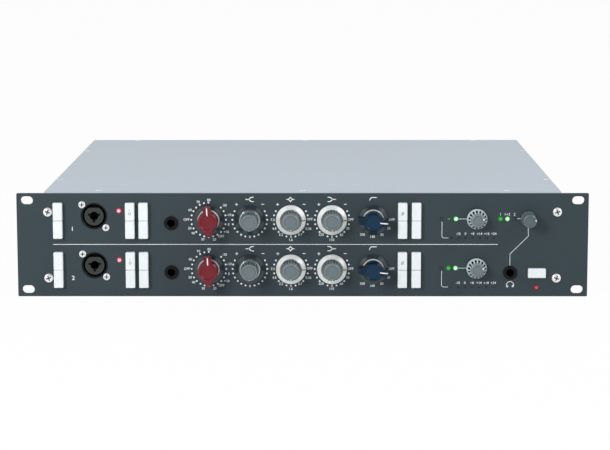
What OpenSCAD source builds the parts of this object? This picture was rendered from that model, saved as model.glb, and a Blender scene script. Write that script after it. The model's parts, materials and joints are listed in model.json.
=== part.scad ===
// Two-channel microphone preamp with equaliser for a 19-inch rack, two units high.
// The front looks along -Y, +X is the right-hand side seen from the front, and +Z is up.
// The origin lies on the rear face of the front panel, midway between the four rack slots.
// All lengths are millimetres.

/* [Front panel] */
// Width of the front panel
panel_w = 482.6; // [478:0.1:490]
// Height of the front panel
panel_h = 88.1; // [87:0.1:92]
// Thickness of the front panel
panel_t = 3; // [2.5:0.5:4]
// Distance between the rack slots, left to right
slot_span_x = 465.1; // [462:0.1:467]
// Distance between the rack slots, top to bottom
slot_span_z = 76.2; // [70:0.1:77]
// Length of a rack slot, end to end
slot_len = 10.3; // [8:0.1:11]
// Width of a rack slot
slot_w = 7; // [6:0.1:8]

/* [Case] */
// Width of the case behind the panel
case_w = 440; // [436:1:446]
// Height of the case, cover included
case_h = 86.2; // [84:0.1:87]
// Depth of the case behind the panel
case_d = 417.5; // [380:0.5:460]
// Thickness of the case's sheet metal
sheet_t = 1.5; // [1:0.1:2]
// Radius of the sheet's outer bends
bend_r = 2.4; // [2.1:0.1:4]
// Width of the flanges that carry the cover
flange_w = 15; // [12:0.5:20]
// Width of the side walls' returns behind the panel
return_w = 8.6; // [8:0.1:9.2]
// Distance from the panel to the cover's front edge
cover_start = 12.6; // [8:0.1:16]
// Width of the rail between the side walls, from the panel to behind the cover's front screws
rail_w = 32; // [28:0.5:36]

/* [Channels] */
// Height of the upper row of dials above the panel's middle
dial_z = 21.6; // [21:0.1:22.2]
// Distance between the two channels
channel_pitch = 42.1; // [41.5:0.1:42.8]
// Place of the gain dial
gain_place = -79.2; // [-82:0.1:-78]
// Distance between neighbouring dials
dial_pitch = 34.75; // [33.5:0.05:35.5]
// Place of the output level knob
level_place = 147.3; // [145:0.1:149]
// Place of the headphone volume knob
volume_place = 190.6; // [188:0.1:194]

/* [Dials] */
// Radius of the skirts under the pointer and fluted knobs
skirt_r = 12.5; // [11.5:0.1:13.2]
// Radius of the round body of a pointer knob
pointer_r = 8.6; // [8:0.1:8.9]
// Width of a pointer knob's wing
wing_w = 6.4; // [5:0.1:7]
// Width of a pointer knob's tail at its end
tail_w = 4.6; // [4:0.1:6]
// Height of the pointer knobs above the panel
pointer_h = 17; // [14:0.1:20]
// Height of the skirted fluted knob above the panel
fluted_h = 20.4; // [17:0.1:23]
// Radius of the equaliser's fluted knobs at their front
grip_r = 8; // [7.4:0.1:8.2]
// Radius of the skirted fluted knob at its front
slim_r = 7.5; // [7:0.1:7.8]
// Height of the inner knobs above the panel
inner_h = 17; // [14:0.1:19]
// Outer radius of the frequency rings
ring_r = 12.6; // [12:0.1:13.2]
// Opening of the frequency rings
ring_bore_r = 9.05; // [8.9:0.05:9.6]
// Flutes around a fluted knob
flutes = 20; // [14:1:26]
// Radius of a knob's metal shaft
shaft_r = 3; // [2.8:0.1:3.2]
// Radius of the inner shaft of a pair
inner_shaft_r = 2; // [1.8:0.1:2.2]

/* [Output knobs] */
// Radius of the level knob at its foot
level_r = 8.6; // [8:0.1:9.4]
// Ribs around the level knob
level_ribs = 15; // [10:1:18]
// Radius of the volume knob at its foot
volume_r = 6.3; // [5.9:0.1:7]
// Fine flutes around the volume knob
volume_flutes = 24; // [16:1:30]
// Height of the level knobs above the panel
level_h = 13.2; // [12:0.1:16]
// Height of the volume knob above the panel
volume_h = 17; // [15:0.1:19]
// Travel when a level or volume knob is pushed
knob_travel = 1.2; // [0.8:0.1:1.5]

/* [Buttons] */
// Width of a button cap
button_w = 7.8; // [7:0.1:8.2]
// Height of a button cap
button_h = 15.05; // [14:0.05:15.4]
// How far a button stands out of the panel
button_out = 4.5; // [3.5:0.1:6]
// Gap between the two caps of a column
button_split = 0.3; // [0.2:0.05:0.6]
// Travel of a button
button_travel = 2.5; // [1.5:0.1:2.8]
// Width of the power button
power_w = 15; // [13:0.1:16]
// Height of the power button
power_h = 8; // [7:0.1:9]

/* [Sockets] */
// Radius of the bore of a 6.35 mm jack socket
jack_r = 3.25; // [3.2:0.01:3.35]
// Radius of a jack socket's front nut
jack_nut_r = 5.85; // [5.6:0.05:6.5]
// Radius of the combined socket's front ring
combo_r = 11.2; // [10.8:0.1:11.6]
// Radius of the combined socket's insert
insert_r = 8.1; // [7.9:0.1:8.4]
// Depth of a combined socket behind the panel's rear face
combo_deep = 23; // [20:0.5:26]
// Depth of a jack's bore behind the panel
jack_deep = 19; // [17:0.5:20]
// Depth of a round rear connector behind its flange
xlr_deep = 20; // [18:0.5:24]
// Depth of the mains inlet's recess
inlet_deep = 20; // [18:0.5:22]

/* [Inside] */
// Distance from the panel's rear face to the control board
board_gap = 12; // [11.5:0.1:14]
// Thickness of the circuit boards
board_t = 1.6; // [1:0.1:2]
// Width of a channel board
card_w = 150; // [130:1:155]
// Depth of a channel board
card_d = 300; // [260:1:315]
// Radius of an audio transformer's can
can_r = 17; // [15:0.5:19]
// Height of an audio transformer's can
can_h = 38; // [32:1:44]
// Radius of the power transformer
toroid_r = 40; // [35:0.5:42]
// Height of the power transformer
toroid_h = 34; // [28:0.5:40]

/* [Hidden] */
$fn = 64;

// Clearances between pieces
fit = 0.05;        // radial, shaft in its bearing
seat = 0.02;       // radial, knob on its shaft
loose = 0.3;       // each side, moving cap or stem in its opening
hole_gap = 0.1;    // radial, fixed bush in the panel
knob_lift = 0.6;   // underside of a dial above the panel
push_lift = knob_travel + 0.8;

// Heights of the case, measured from the middle of the panel
case_top = case_h / 2;
case_bottom = -case_h / 2;
flange_top = case_top - sheet_t;
floor_z = case_bottom + sheet_t;
wall_x = case_w / 2 - sheet_t;
rear_y = case_d - sheet_t;

// A place left or right, measured on a case this wide, moves out and in with the case
measured_w = 440;
function spread(x) = x * case_w / measured_w;

// Places on the front panel
row_z = [dial_z, dial_z - channel_pitch];
gain_x = spread(gain_place);
hf_x = spread(gain_place + dial_pitch);
mf_x = spread(gain_place + 2 * dial_pitch);
lf_x = spread(gain_place + 3 * dial_pitch);
filter_x = spread(gain_place + 4 * dial_pitch);
button_x = [for (x = [-206.4, -145.5, -134.2, 84.5, 96.2]) spread(x)];
button_dz = -0.5;
cap_step = (button_h + button_split) / 2;
combo_x = spread(-176);
combo_dz = 3.1;
combo_screw = [10, 9.8];
phantom_x = spread(-154.9);
phantom_dz = 7.75;
di_x = spread(-110.9);
di_dz = -2.85;
level_x = spread(level_place);
level_dz = 0.8;
select_led_x = level_x - 29.8;
select_led_pitch = 6.05;
meter_led_x = level_x - 21.4;
meter_led_pitch = 5.98;
meter_led_dz = -15.5;
meter_leds = 7;
volume_x = spread(volume_place);
volume_dz = level_dz + 0.2;
phones_x = spread(175.8);
phones_dz = -3.2;
phones_led_x = volume_x - 23.5;
phones_led_pitch = 5.9;
power_x = spread(198.3);
power_dz = -3.2;
power_led_dz = -15.7;
panel_screw = [case_w / 2 - 5, 28.25];

// Angles that the gain knobs and level knobs stand at in the photo
gain_turn = [94, 92];
level_turn = [12, 16];
volume_turn = 6;

// Buttons go by column letter, and by top or bottom cap
COLUMNS = ["a", "b", "c", "d", "e"];
CAPS = ["top", "bottom"];
CHANNELS = [0, 1];
function channel_name(base, c) = str(base, "_", c + 1);
function button_name(c, k, cap) = str("button_", c + 1, COLUMNS[k], "_", CAPS[cap]);

FIXED = ["front_panel", "chassis_tray", "top_cover", "rear_panel", "panel_screws", "cover_screws",
         "connector_screws", "combo_sockets", "jack_sockets", "led_lenses", "rotary_bodies",
         "switch_bodies", "control_board", "channel_boards", "audio_transformers", "power_supply",
         "mains_inlet", "rear_inputs", "rear_outputs"];
DIALS = ["gain_knob", "hf_gain_knob", "mf_gain_knob", "mf_freq_ring", "lf_gain_knob",
         "lf_freq_ring", "filter_knob", "level_plunger", "level_knob"];

// Colours, as the photo shows them
slate = [0.22, 0.27, 0.29];
pale_grey = [0.73, 0.77, 0.81];
knob_grey = [0.46, 0.50, 0.52];
skirt_grey = [0.25, 0.28, 0.29];
silver = [0.85, 0.87, 0.86];
steel = [0.66, 0.68, 0.70];
black = [0.07, 0.08, 0.08];
cap_white = [0.95, 0.96, 0.95];
board_green = [0.10, 0.30, 0.18];

// ---- Placing ----

// Local +Z stands out of the panel's front face, and local +X stays to the right
module on_panel(x, z, turn = 0) {
    translate([x, -panel_t, z]) rotate([90, 0, 0]) rotate([0, 0, turn]) children();
}

// Local +Z stands out of the rear panel's outer face
module on_rear(x, z) {
    translate([x, case_d, z]) rotate([-90, 0, 0]) mirror([0, 1, 0]) children();
}

// A pair of children, left and right
module both_sides() {
    children();
    mirror([1, 0, 0]) children();
}

module at_all(places) {
    for (p = places) translate([p[0], p[1], 0]) children();
}

// ---- Shapes ----

module rounded_rect(w, h, r) {
    square([w - 2 * r, h], center = true);
    square([w, h - 2 * r], center = true);
    for (sx = [-1, 1]) for (sy = [-1, 1])
        translate([sx * (w / 2 - r), sy * (h / 2 - r)]) circle(r);
}

module tube(r_out, r_in, from, to) {
    translate([0, 0, from]) difference() {
        cylinder(r = r_out, h = to - from);
        translate([0, 0, -1]) cylinder(r = r_in, h = to - from + 2);
    }
}

module rod(r, from, to) {
    translate([0, 0, from]) cylinder(r = r, h = to - from);
}

module block(w, h, from, to) {
    translate([-w / 2, -h / 2, from]) cube([w, h, to - from]);
}

// A nut of six sides, threaded on a bush
module hex_nut(across, bush_r, from, to) {
    difference() {
        translate([0, 0, from]) cylinder(d = across / cos(30), h = to - from, $fn = 6);
        rod(bush_r + fit, from - 1, to + 1);
    }
}

// The cross recess of a screw head, cut from its top downwards
module cross_recess(size, deep) {
    for (turn = [0, 90]) rotate([0, 0, turn])
        translate([-size / 2, -size / 8, -deep]) cube([size, size / 4, deep + 1]);
}

// ---- Screws: the head's underside is at z = 0 and the shank points down ----

module pan_screw(head_r, head_h, shank_r, shank_l) {
    difference() {
        union() {
            rotate_extrude() polygon([[0, 0], [head_r, 0], [head_r, head_h * 0.35],
                                      [head_r * 0.92, head_h * 0.68], [head_r * 0.7, head_h * 0.92],
                                      [head_r * 0.4, head_h], [0, head_h]]);
            rod(shank_r, -shank_l, 0);
        }
        translate([0, 0, head_h]) cross_recess(head_r * 1.15, head_h * 0.55);
    }
}

// The flat head lies flush, with its top at z = 0
module flush_screw(head_r, shank_r, shank_l) {
    difference() {
        rotate_extrude() polygon([[0, 0], [head_r, 0], [shank_r, shank_r - head_r],
                                  [shank_r, -shank_l], [0, -shank_l]]);
        cross_recess(head_r * 1.1, head_r * 0.35);
    }
}

// ---- Knobs: local z = 0 is the panel's front face ----

nut_h = 1.8;
bush_top = 2.2;
bush_r = shaft_r + 1.5;
nut_across = 11.5;
cavity_r = 7.4;
collar_r = 9.15;
collar_h = 6.1;
hole_end = 4;      // how much of a knob's front stays solid above its shaft
shaft_deep = 8;    // how far a shaft reaches behind the panel's rear face
inner_deep = 10.5;

dish_deep = 0.6;
neck_r = 7.6;      // part of a knob's body inside its collar
skirt_top = collar_h - 2.6;
collar_foot = skirt_top + seat;
body_foot = collar_h + seat;

// Dark skirt with a flat edge and a low cone, and the polished collar that stands on it
module knob_foot() {
    edge = knob_lift + 1.1;
    color(skirt_grey) rotate_extrude() polygon([
        [cavity_r, knob_lift], [skirt_r, knob_lift], [skirt_r, edge], [skirt_r - 0.3, edge + 0.2],
        [collar_r + 0.6, skirt_top], [cavity_r, skirt_top]]);
    // The collar's outside is rounded over
    arch = collar_r + 0.15;
    rise = collar_h - collar_foot;
    color(silver) rotate_extrude() polygon(concat(
        [[neck_r + seat, collar_foot], [arch, collar_foot]],
        [for (a = [10:20:70]) [arch - 1.1 * (1 - cos(a)), collar_foot + rise * sin(a)]],
        [[arch - 1, collar_h], [neck_r + seat, collar_h]]));
}

module knob_shaft(r, deep, top) {
    rod(r, -panel_t - deep, top);
}

// The recessed disc in a knob's front, with a wall that leans outwards
module dish(disc_r, top) {
    translate([0, 0, top - dish_deep])
        cylinder(r1 = disc_r, r2 = disc_r + 2 * dish_deep, h = 2 * dish_deep);
}

// Wing and tail of a pointer knob, both ends rounded by the same circle
module pointer_wings() {
    intersection() {
        translate([0, 0, body_foot]) linear_extrude(pointer_h - body_foot)
            polygon([[-skirt_r - 1, -tail_w / 2], [-pointer_r, -wing_w / 2], [skirt_r + 1, -wing_w / 2],
                     [skirt_r + 1, wing_w / 2], [-pointer_r, wing_w / 2], [-skirt_r - 1, tail_w / 2]]);
        rotate_extrude() polygon([[0, 0], [skirt_r, 0], [skirt_r, pointer_h - 1.4],
                                  [skirt_r - 0.4, pointer_h - 0.5], [skirt_r - 1.1, pointer_h],
                                  [0, pointer_h]]);
    }
}

module pointer_knob(turn, tint) {
    rotate([0, 0, turn]) color(tint) difference() {
        union() {
            rotate_extrude() polygon([
                [0, collar_foot], [neck_r, collar_foot], [neck_r, body_foot], [pointer_r, body_foot],
                [pointer_r, pointer_h - 2], [pointer_r - 0.4, pointer_h - 1],
                [pointer_r - 1.3, pointer_h - 0.1], [pointer_r - 1.7, pointer_h], [0, pointer_h]]);
            pointer_wings();
        }
        rod(shaft_r + seat, 0, pointer_h - hole_end);
        dish(pointer_r - 2.5, pointer_h);
    }
    knob_foot();
    color(steel) knob_shaft(shaft_r, shaft_deep, pointer_h - hole_end - fit);
}

// Straight flutes that follow a body tapering from foot_r to front_r
module flute_cuts(count, foot_r, front_r, from, to, cut_r, bite, sides = 24) {
    lean = atan((foot_r - front_r) / (to - from));
    for (i = [0:count - 1]) rotate([0, 0, (i + 0.25) * 360 / count])
        translate([foot_r + cut_r - bite, 0, from]) rotate([0, -lean, 0]) rotate([0, 0, 180 / sides])
            cylinder(r = cut_r, h = (to - from) * 1.2, $fn = sides);
}

// The fluted grip: its front slopes from the rim to a lip around a recessed disc
module grip(foot_r, front_r, from, to, disc_r) {
    difference() {
        rotate_extrude() polygon([[0, from], [foot_r, from], [front_r, to - 1.7],
                                  [front_r - 0.25, to - 1.3], [disc_r + 1.1, to - 0.1],
                                  [disc_r + 0.9, to], [0, to]]);
        flute_cuts(flutes, foot_r, front_r, from + 0.6, to, 0.95, 0.75);
        dish(disc_r, to);
    }
}

module skirted_knob(turn) {
    foot_r = slim_r + 0.3;
    color(knob_grey) rotate([0, 0, turn]) difference() {
        union() {
            rod(neck_r, collar_foot, collar_h + 1);
            grip(foot_r, slim_r, body_foot, fluted_h, 5.2);
        }
        rod(shaft_r + seat, 0, fluted_h - hole_end);
    }
    knob_foot();
    color(steel) knob_shaft(shaft_r, shaft_deep, fluted_h - hole_end - fit);
}

ring_floor = bush_top + 0.5;
ring_floor_t = 1;
ring_face = ring_floor + ring_floor_t + 1.9;

// The turned ring rides on a hollow shaft, which the inner shaft runs in
module freq_ring(turn) {
    bore = inner_shaft_r + fit;
    color(silver) rotate([0, 0, turn]) rotate_extrude() polygon([
        [bore, -panel_t - shaft_deep + 2], [shaft_r, -panel_t - shaft_deep + 2],
        [shaft_r, ring_floor], [cavity_r + 0.6, ring_floor], [cavity_r + 0.6, knob_lift],
        [ring_r - 0.4, knob_lift], [ring_r, knob_lift + 0.4], [ring_r, knob_lift + 1.9],
        [ring_r - 0.5, knob_lift + 2.5], [ring_bore_r + 0.35, ring_face],
        [ring_bore_r, ring_face - 0.25], [ring_bore_r, ring_floor + ring_floor_t],
        [bore, ring_floor + ring_floor_t]]);
}

module inner_knob(turn) {
    from = ring_floor + ring_floor_t + loose;
    color(knob_grey) rotate([0, 0, turn]) difference() {
        grip(grip_r + 0.35, grip_r, from, inner_h, 5);
        rod(inner_shaft_r + seat, 0, inner_h - hole_end);
    }
    color(steel) knob_shaft(inner_shaft_r, inner_deep, inner_h - hole_end - fit);
}

// Output knobs taper towards the front, and stand clear of the panel by their push travel
module output_body(foot_r, front_r, rim, top, disc_r) {
    difference() {
        rotate_extrude() polygon([[0, push_lift], [foot_r, push_lift], [foot_r, push_lift + rim],
                                  [front_r, top - 1.2], [front_r - 0.3, top - 0.7],
                                  [disc_r + 0.9, top - 0.1], [disc_r + 0.7, top], [0, top]]);
        dish(disc_r, top);
        rod(shaft_r + seat, 0, top - hole_end);
    }
}

// Pockets between the ribs, open to the front and closed by the rim at the foot
module level_knob(c) {
    floor_h = push_lift + 0.8;
    on_panel(level_x, row_z[c] + level_dz, level_turn[c]) {
        color(knob_grey) difference() {
            output_body(level_r, 5.9, 0.8, level_h, 3.7);
            for (i = [0:level_ribs - 1]) rotate([0, 0, (i + 0.5) * 360 / level_ribs])
                translate([level_r - 1.8, 0, 0]) rod(1, floor_h, level_h + 1);
        }
        color(steel) knob_shaft(shaft_r, plunger_deep - 1.5, level_h - hole_end - fit);
    }
}

module volume_knob() {
    on_panel(volume_x, row_z[0] + volume_dz, volume_turn) {
        color(knob_grey) difference() {
            output_body(volume_r, 5.75, 0.3, volume_h, 3.7);
            flute_cuts(volume_flutes, volume_r, 5.75, push_lift + 0.5, volume_h, 0.5, 0.3, 8);
        }
        color(steel) knob_shaft(shaft_r, plunger_deep - 1.5, volume_h - hole_end - fit);
    }
}

// The sleeve inside a push control carries the turning shaft in and out
plunger_r = shaft_r + 1.4;
plunger_deep = 8;

module push_plunger() {
    color(steel) tube(plunger_r, shaft_r + fit, -panel_t - plunger_deep, -panel_t - 0.5);
}

// ---- Fixed controls behind the panel ----

// Round body, bush through the panel, and the nut that holds it
module rotary_body(body_r, bore_r, end_bore_r) {
    back = -panel_t - board_gap;
    color(steel) difference() {
        union() {
            rod(body_r, back, -panel_t);
            rod(bush_r, -panel_t - 1, bush_top);
        }
        rod(bore_r, -panel_t - shaft_deep - 0.5, bush_top + 1);
        rod(end_bore_r, back + 0.8, -panel_t);
    }
    color(silver) hex_nut(nut_across, bush_r, 0, nut_h);
}

// The push control's body has room for its sleeve, and a bush that the sleeve can't leave.
// Its bush and thin nut stay clear of the knob at the end of the knob's travel.
module push_body(body_r) {
    back = -panel_t - board_gap;
    front = push_lift - knob_travel - loose;
    color(steel) difference() {
        union() {
            rod(body_r, back, -panel_t);
            rod(bush_r, -panel_t - 1, front);
        }
        rod(shaft_r + fit, -panel_t - 1, push_lift + 1);
        rod(plunger_r + fit, -panel_t - plunger_deep - knob_travel - 0.4, -panel_t - 0.4);
    }
    color(silver) hex_nut(nut_across, bush_r, 0, front);
}

module rotary_bodies() {
    single_end = shaft_r + fit;
    pair_end = inner_shaft_r + fit;
    for (c = CHANNELS) {
        for (x = [gain_x, hf_x, filter_x])
            on_panel(x, row_z[c]) rotary_body(11, shaft_r + fit, single_end - 1);
        for (x = [mf_x, lf_x])
            on_panel(x, row_z[c]) rotary_body(11, shaft_r + fit, pair_end);
        on_panel(level_x, row_z[c] + level_dz) push_body(8.5);
    }
    on_panel(volume_x, row_z[0] + volume_dz) push_body(8.5);
}

// ---- Buttons ----

stem_w = 3;
stem_deep = 6;      // how far a stem reaches behind the panel's rear face
switch_gap = 3.2;   // panel's rear face to the switches
cap_foot = -panel_t + 0.5;

// A cap with its front edges bevelled, and the stem that works the switch
module button(w, h, out) {
    bevel = 0.45;
    color(cap_white) {
        intersection() {
            translate([0, 0, cap_foot]) linear_extrude(out - cap_foot) rounded_rect(w, h, 0.7);
            rotate([90, 0, 0]) translate([0, 0, -h]) linear_extrude(2 * h)
                polygon([[-w / 2, cap_foot - 1], [w / 2, cap_foot - 1], [w / 2, out - bevel],
                         [w / 2 - bevel, out], [-w / 2 + bevel, out], [-w / 2, out - bevel]]);
            rotate([90, 0, 90]) translate([0, 0, -w]) linear_extrude(2 * w)
                polygon([[-h / 2, cap_foot - 1], [h / 2, cap_foot - 1], [h / 2, out - bevel],
                         [h / 2 - bevel, out], [-h / 2 + bevel, out], [-h / 2, out - bevel]]);
        }
        block(stem_w, stem_w, -panel_t - stem_deep, cap_foot + 1);
    }
}

module channel_button(c, k, cap) {
    on_panel(button_x[k], row_z[c] + button_dz + (1 - 2 * cap) * cap_step)
        button(button_w, button_h, button_out);
}

module power_button() {
    on_panel(power_x, row_z[1] + power_dz) button(power_w, power_h, button_out - 0.7);
}

// A switch body on the control board, with the well that the stem moves in
module switch_body(w, h) {
    well = stem_w + 2 * loose;
    color(black) difference() {
        block(w, h, -panel_t - board_gap, -panel_t - switch_gap);
        block(well, well, -panel_t - stem_deep - button_travel - 0.4, 0);
    }
}

module switch_bodies() {
    for (c = CHANNELS) for (x = button_x) for (cap = [-1, 1])
        on_panel(x, row_z[c] + button_dz + cap * cap_step) switch_body(button_w - 0.6, button_h - 0.6);
    on_panel(power_x, row_z[1] + power_dz) switch_body(power_w - 1, power_h + 4);
}

// ---- Sockets ----

groove_r = insert_r + 1.5;
star_foot = -2.2;    // floor of the star-shaped pocket, just behind the panel's front

// Ring and flange behind the panel, and the insert with the jack's bore in its middle
module combo_socket() {
    flange = [27, 29];
    foot = -panel_t - combo_deep;
    color(black) difference() {
        union() {
            rod(combo_r, foot, -0.1);
            translate([0, 0, -panel_t - 2]) linear_extrude(2) rounded_rect(flange[0], flange[1], 3);
        }
        rod(groove_r, foot + 6, 1);
        translate([0, 0, -0.8]) cylinder(r1 = groove_r, r2 = groove_r + 1.3, h = 1.3);
        at_all([[-combo_screw[0], combo_screw[1]], [combo_screw[0], -combo_screw[1]]])
            rod(screw3_r + fit, foot, 0);
        rod(jack_r, foot - 1, foot + 7);
    }
    color([0.16, 0.17, 0.17]) difference() {
        rod(insert_r, foot + 6, -0.6);
        translate([-insert_r, insert_r - 1.1, -4]) cube([2 * insert_r, 2, 4]);
        rod(jack_r, foot, 0);
        rod(jack_r + jack_mouth, star_foot, 0);
        combo_lobes(star_foot);
    }
}

// Three contact slots meet the bore in a star-shaped pocket
module combo_lobes(from) {
    reach = insert_r - 2.6;
    for (turn = [15, 165, 270]) rotate([0, 0, turn]) translate([0, 0, from]) linear_extrude(4)
        polygon([[0, -2.2], [reach, -0.75], [reach, 0.75], [0, 2.2]]);
}

module combo_sockets() {
    for (c = CHANNELS) on_panel(combo_x, row_z[c] + combo_dz) combo_socket();
}

jack_bush = 2.3;     // bush in front of the panel
jack_mouth = 0.45;

// One bush and body with the plug's bore, and the round nut in front of the panel
module jack_socket(panel_thickness, body_w) {
    foot = -panel_thickness - jack_deep;
    color(black) difference() {
        union() {
            rod(jack_r + 1.3, -panel_thickness - 1, jack_bush);
            block(body_w, body_w, foot - 2, -panel_thickness);
        }
        rod(jack_r, foot, jack_bush + 1);
        translate([0, 0, jack_bush - jack_mouth])
            cylinder(r1 = jack_r, r2 = jack_r + 2 * jack_mouth, h = 2 * jack_mouth);
    }
    color(black) difference() {
        rotate_extrude() polygon([[jack_r + 1.3 + fit, 0], [jack_nut_r, 0], [jack_nut_r, 1.2],
                                  [jack_nut_r - 0.5, 1.8], [jack_r + 1.3 + fit, 1.8]]);
        for (turn = [45:90:315]) rotate([0, 0, turn])
            translate([jack_nut_r, 0, 0.8]) rod(0.6, 0, 2);
    }
}

jack_body = [15, 13];  // width of a front and of a rear jack's body

module jack_sockets() {
    for (c = CHANNELS) on_panel(di_x, row_z[c] + di_dz) jack_socket(panel_t, jack_body[0]);
    on_panel(phones_x, row_z[1] + phones_dz) jack_socket(panel_t, jack_body[0]);
    for (p = rear_jack_places()) on_rear(p[0], p[1]) jack_socket(sheet_t, jack_body[1]);
}

// ---- Lamps ----

lamp_r = 1.5;
meter_lamp_r = 0.9;
lamp_flange = 0.4;

module lamp(r, out) {
    color([0.9, 0.9, 0.9]) {
        difference() {
            union() {
                rod(r, -panel_t - 1, out);
                translate([0, 0, out]) sphere(r);
                rod(r + lamp_flange, -panel_t - 1.2, -panel_t);
            }
            translate([0, 0, -panel_t - 6]) rod(r + 1, 0, 4.8);
        }
        for (s = [-1, 1]) translate([s * r / 2, 0, 0])
            rod(0.2, -panel_t - board_gap, -panel_t - 1.2);
    }
}

function lamp_places() = concat(
    [for (c = CHANNELS) [phantom_x, row_z[c] + phantom_dz]],
    [[power_x, row_z[1] + power_led_dz]]);

function small_lamp_places() = concat(
    [for (c = CHANNELS) for (i = [0:2])
        [select_led_x + i * select_led_pitch, row_z[c] + level_dz]],
    [for (i = [0:2]) [phones_led_x + i * phones_led_pitch, row_z[0] + level_dz]]);

function meter_places() = [for (c = CHANNELS) for (i = [0:meter_leds - 1])
    [meter_led_x + i * meter_led_pitch, row_z[c] + meter_led_dz]];

module led_lenses() {
    for (p = lamp_places()) on_panel(p[0], p[1]) lamp(lamp_r, 0.2);
    for (p = small_lamp_places()) on_panel(p[0], p[1]) lamp(lamp_r - 0.2, 0);
    for (p = meter_places()) on_panel(p[0], p[1]) lamp(meter_lamp_r, -0.7);
}

// ---- Front panel ----

screw3_r = 1.5;
screw4_r = 2;
head3_r = 2.8;
head_step = head3_r - screw3_r;

module slot_hole(len, w) {
    linear_extrude(panel_t + 2) union() {
        square([len - w, w], center = true);
        for (s = [-1, 1]) translate([s * (len - w) / 2, 0]) circle(w / 2);
    }
}

module panel_cuts() {
    for (sx = [-1, 1]) for (sz = [-1, 1]) {
        on_panel(sx * slot_span_x / 2, sz * slot_span_z / 2)
            translate([0, 0, -panel_t - 1]) slot_hole(slot_len, slot_w);
        on_panel(sx * panel_screw[0], sz * panel_screw[1]) rod(screw4_r + 0.2, -panel_t - 1, 1);
    }
    bush_hole = bush_r + hole_gap;
    jack_hole = jack_r + 1.3 + hole_gap;
    for (c = CHANNELS) {
        for (x = [gain_x, hf_x, mf_x, lf_x, filter_x])
            on_panel(x, row_z[c]) rod(bush_hole, -panel_t - 1, 1);
        on_panel(level_x, row_z[c] + level_dz) rod(bush_hole, -panel_t - 1, 1);
        on_panel(di_x, row_z[c] + di_dz) rod(jack_hole, -panel_t - 1, 1);
        on_panel(combo_x, row_z[c] + combo_dz) {
            rod(combo_r + hole_gap, -panel_t - 1, 1);
            at_all([[-combo_screw[0], combo_screw[1]], [combo_screw[0], -combo_screw[1]]])
                rod(screw3_r + 0.15, -panel_t - 1, 1);
        }
        for (x = button_x) on_panel(x, row_z[c] + button_dz)
            block(button_w + 2 * loose, 2 * button_h + button_split + 2 * loose, -panel_t - 1, 1);
    }
    on_panel(volume_x, row_z[0] + volume_dz) rod(bush_hole, -panel_t - 1, 1);
    on_panel(phones_x, row_z[1] + phones_dz) rod(jack_hole, -panel_t - 1, 1);
    on_panel(power_x, row_z[1] + power_dz)
        block(power_w + 2 * loose, power_h + 2 * loose, -panel_t - 1, 1);
    for (p = lamp_places()) on_panel(p[0], p[1]) rod(lamp_r + fit, -panel_t - 1, 1);
    for (p = small_lamp_places()) on_panel(p[0], p[1]) rod(lamp_r - 0.2 + fit, -panel_t - 1, 1);
    for (p = meter_places()) on_panel(p[0], p[1]) rod(meter_lamp_r + fit, -panel_t - 1, 1);
}

module front_panel() {
    color(slate) difference() {
        rotate([90, 0, 0]) linear_extrude(panel_t) rounded_rect(panel_w, panel_h, 0.8);
        panel_cuts();
    }
}

// ---- Case ----

cover_screw_y = [22.8, 97, 320, case_d - 5];
cover_screw_side = case_w / 2 - 3.6;
cover_screw_row = spread(174.5);

function cover_screw_places() = concat(
    [for (x = [-1, 0, 1]) for (y = [cover_screw_y[0], cover_screw_y[3]]) [x * cover_screw_row, y]],
    [for (x = [-1, 1]) for (y = [cover_screw_y[1], cover_screw_y[2]]) [x * cover_screw_side, y]]);

// Folded section of the floor, the walls and the flanges under the cover
module tray_section() {
    tray_h = case_h - sheet_t;
    difference() {
        rounded_rect(case_w, tray_h, bend_r);
        rounded_rect(case_w - 2 * sheet_t, tray_h - 2 * sheet_t, bend_r - sheet_t);
        translate([0, tray_h / 2]) square([case_w - 2 * flange_w, 4 * sheet_t], center = true);
    }
}

module chassis_tray() {
    middle = (case_bottom + flange_top) / 2;
    wall_h = case_h - sheet_t - 2 * bend_r;
    color(pale_grey) difference() {
        union() {
            translate([0, rear_y, middle]) rotate([90, 0, 0]) linear_extrude(rear_y) tray_section();
            // Returns that the panel and the rear plate are screwed to
            both_sides() for (y = [0, rear_y - sheet_t])
                translate([case_w / 2 - return_w, y, middle - wall_h / 2])
                    cube([return_w - sheet_t / 2, sheet_t, wall_h]);
            // Rail that closes the gap behind the panel and carries the cover's front screws
            translate([-wall_x, 0, flange_top - sheet_t]) cube([2 * wall_x, rail_w, sheet_t]);
        }
        for (p = cover_screw_places()) translate([p[0], p[1], flange_top]) rod(screw3_r + fit, -5, 1);
        for (sx = [-1, 1]) for (sz = [-1, 1])
            on_panel(sx * panel_screw[0], sz * panel_screw[1])
                rod(screw4_r + fit, -panel_t - 3, 0);
        for (sx = [-1, 1]) for (sz = [-1, 1])
            on_rear(sx * panel_screw[0], sz * panel_screw[1]) rod(screw3_r + fit, -6, 0);
        for (p = floor_screw_places()) translate([p[0], p[1], case_bottom]) mirror([0, 0, 1])
            flush_hole(screw3_r);
        translate([supply_x, toroid_y, case_bottom]) mirror([0, 0, 1]) flush_hole(bolt_r);
    }
}

// Hole for a flush screw whose head's top is at z = 0
module flush_hole(shank_r) {
    rod(shank_r + 2 * fit, -5, 1);
    translate([0, 0, -fit - head_step])
        cylinder(r1 = shank_r, r2 = shank_r + head_step + 1, h = head_step + 1);
}

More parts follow.
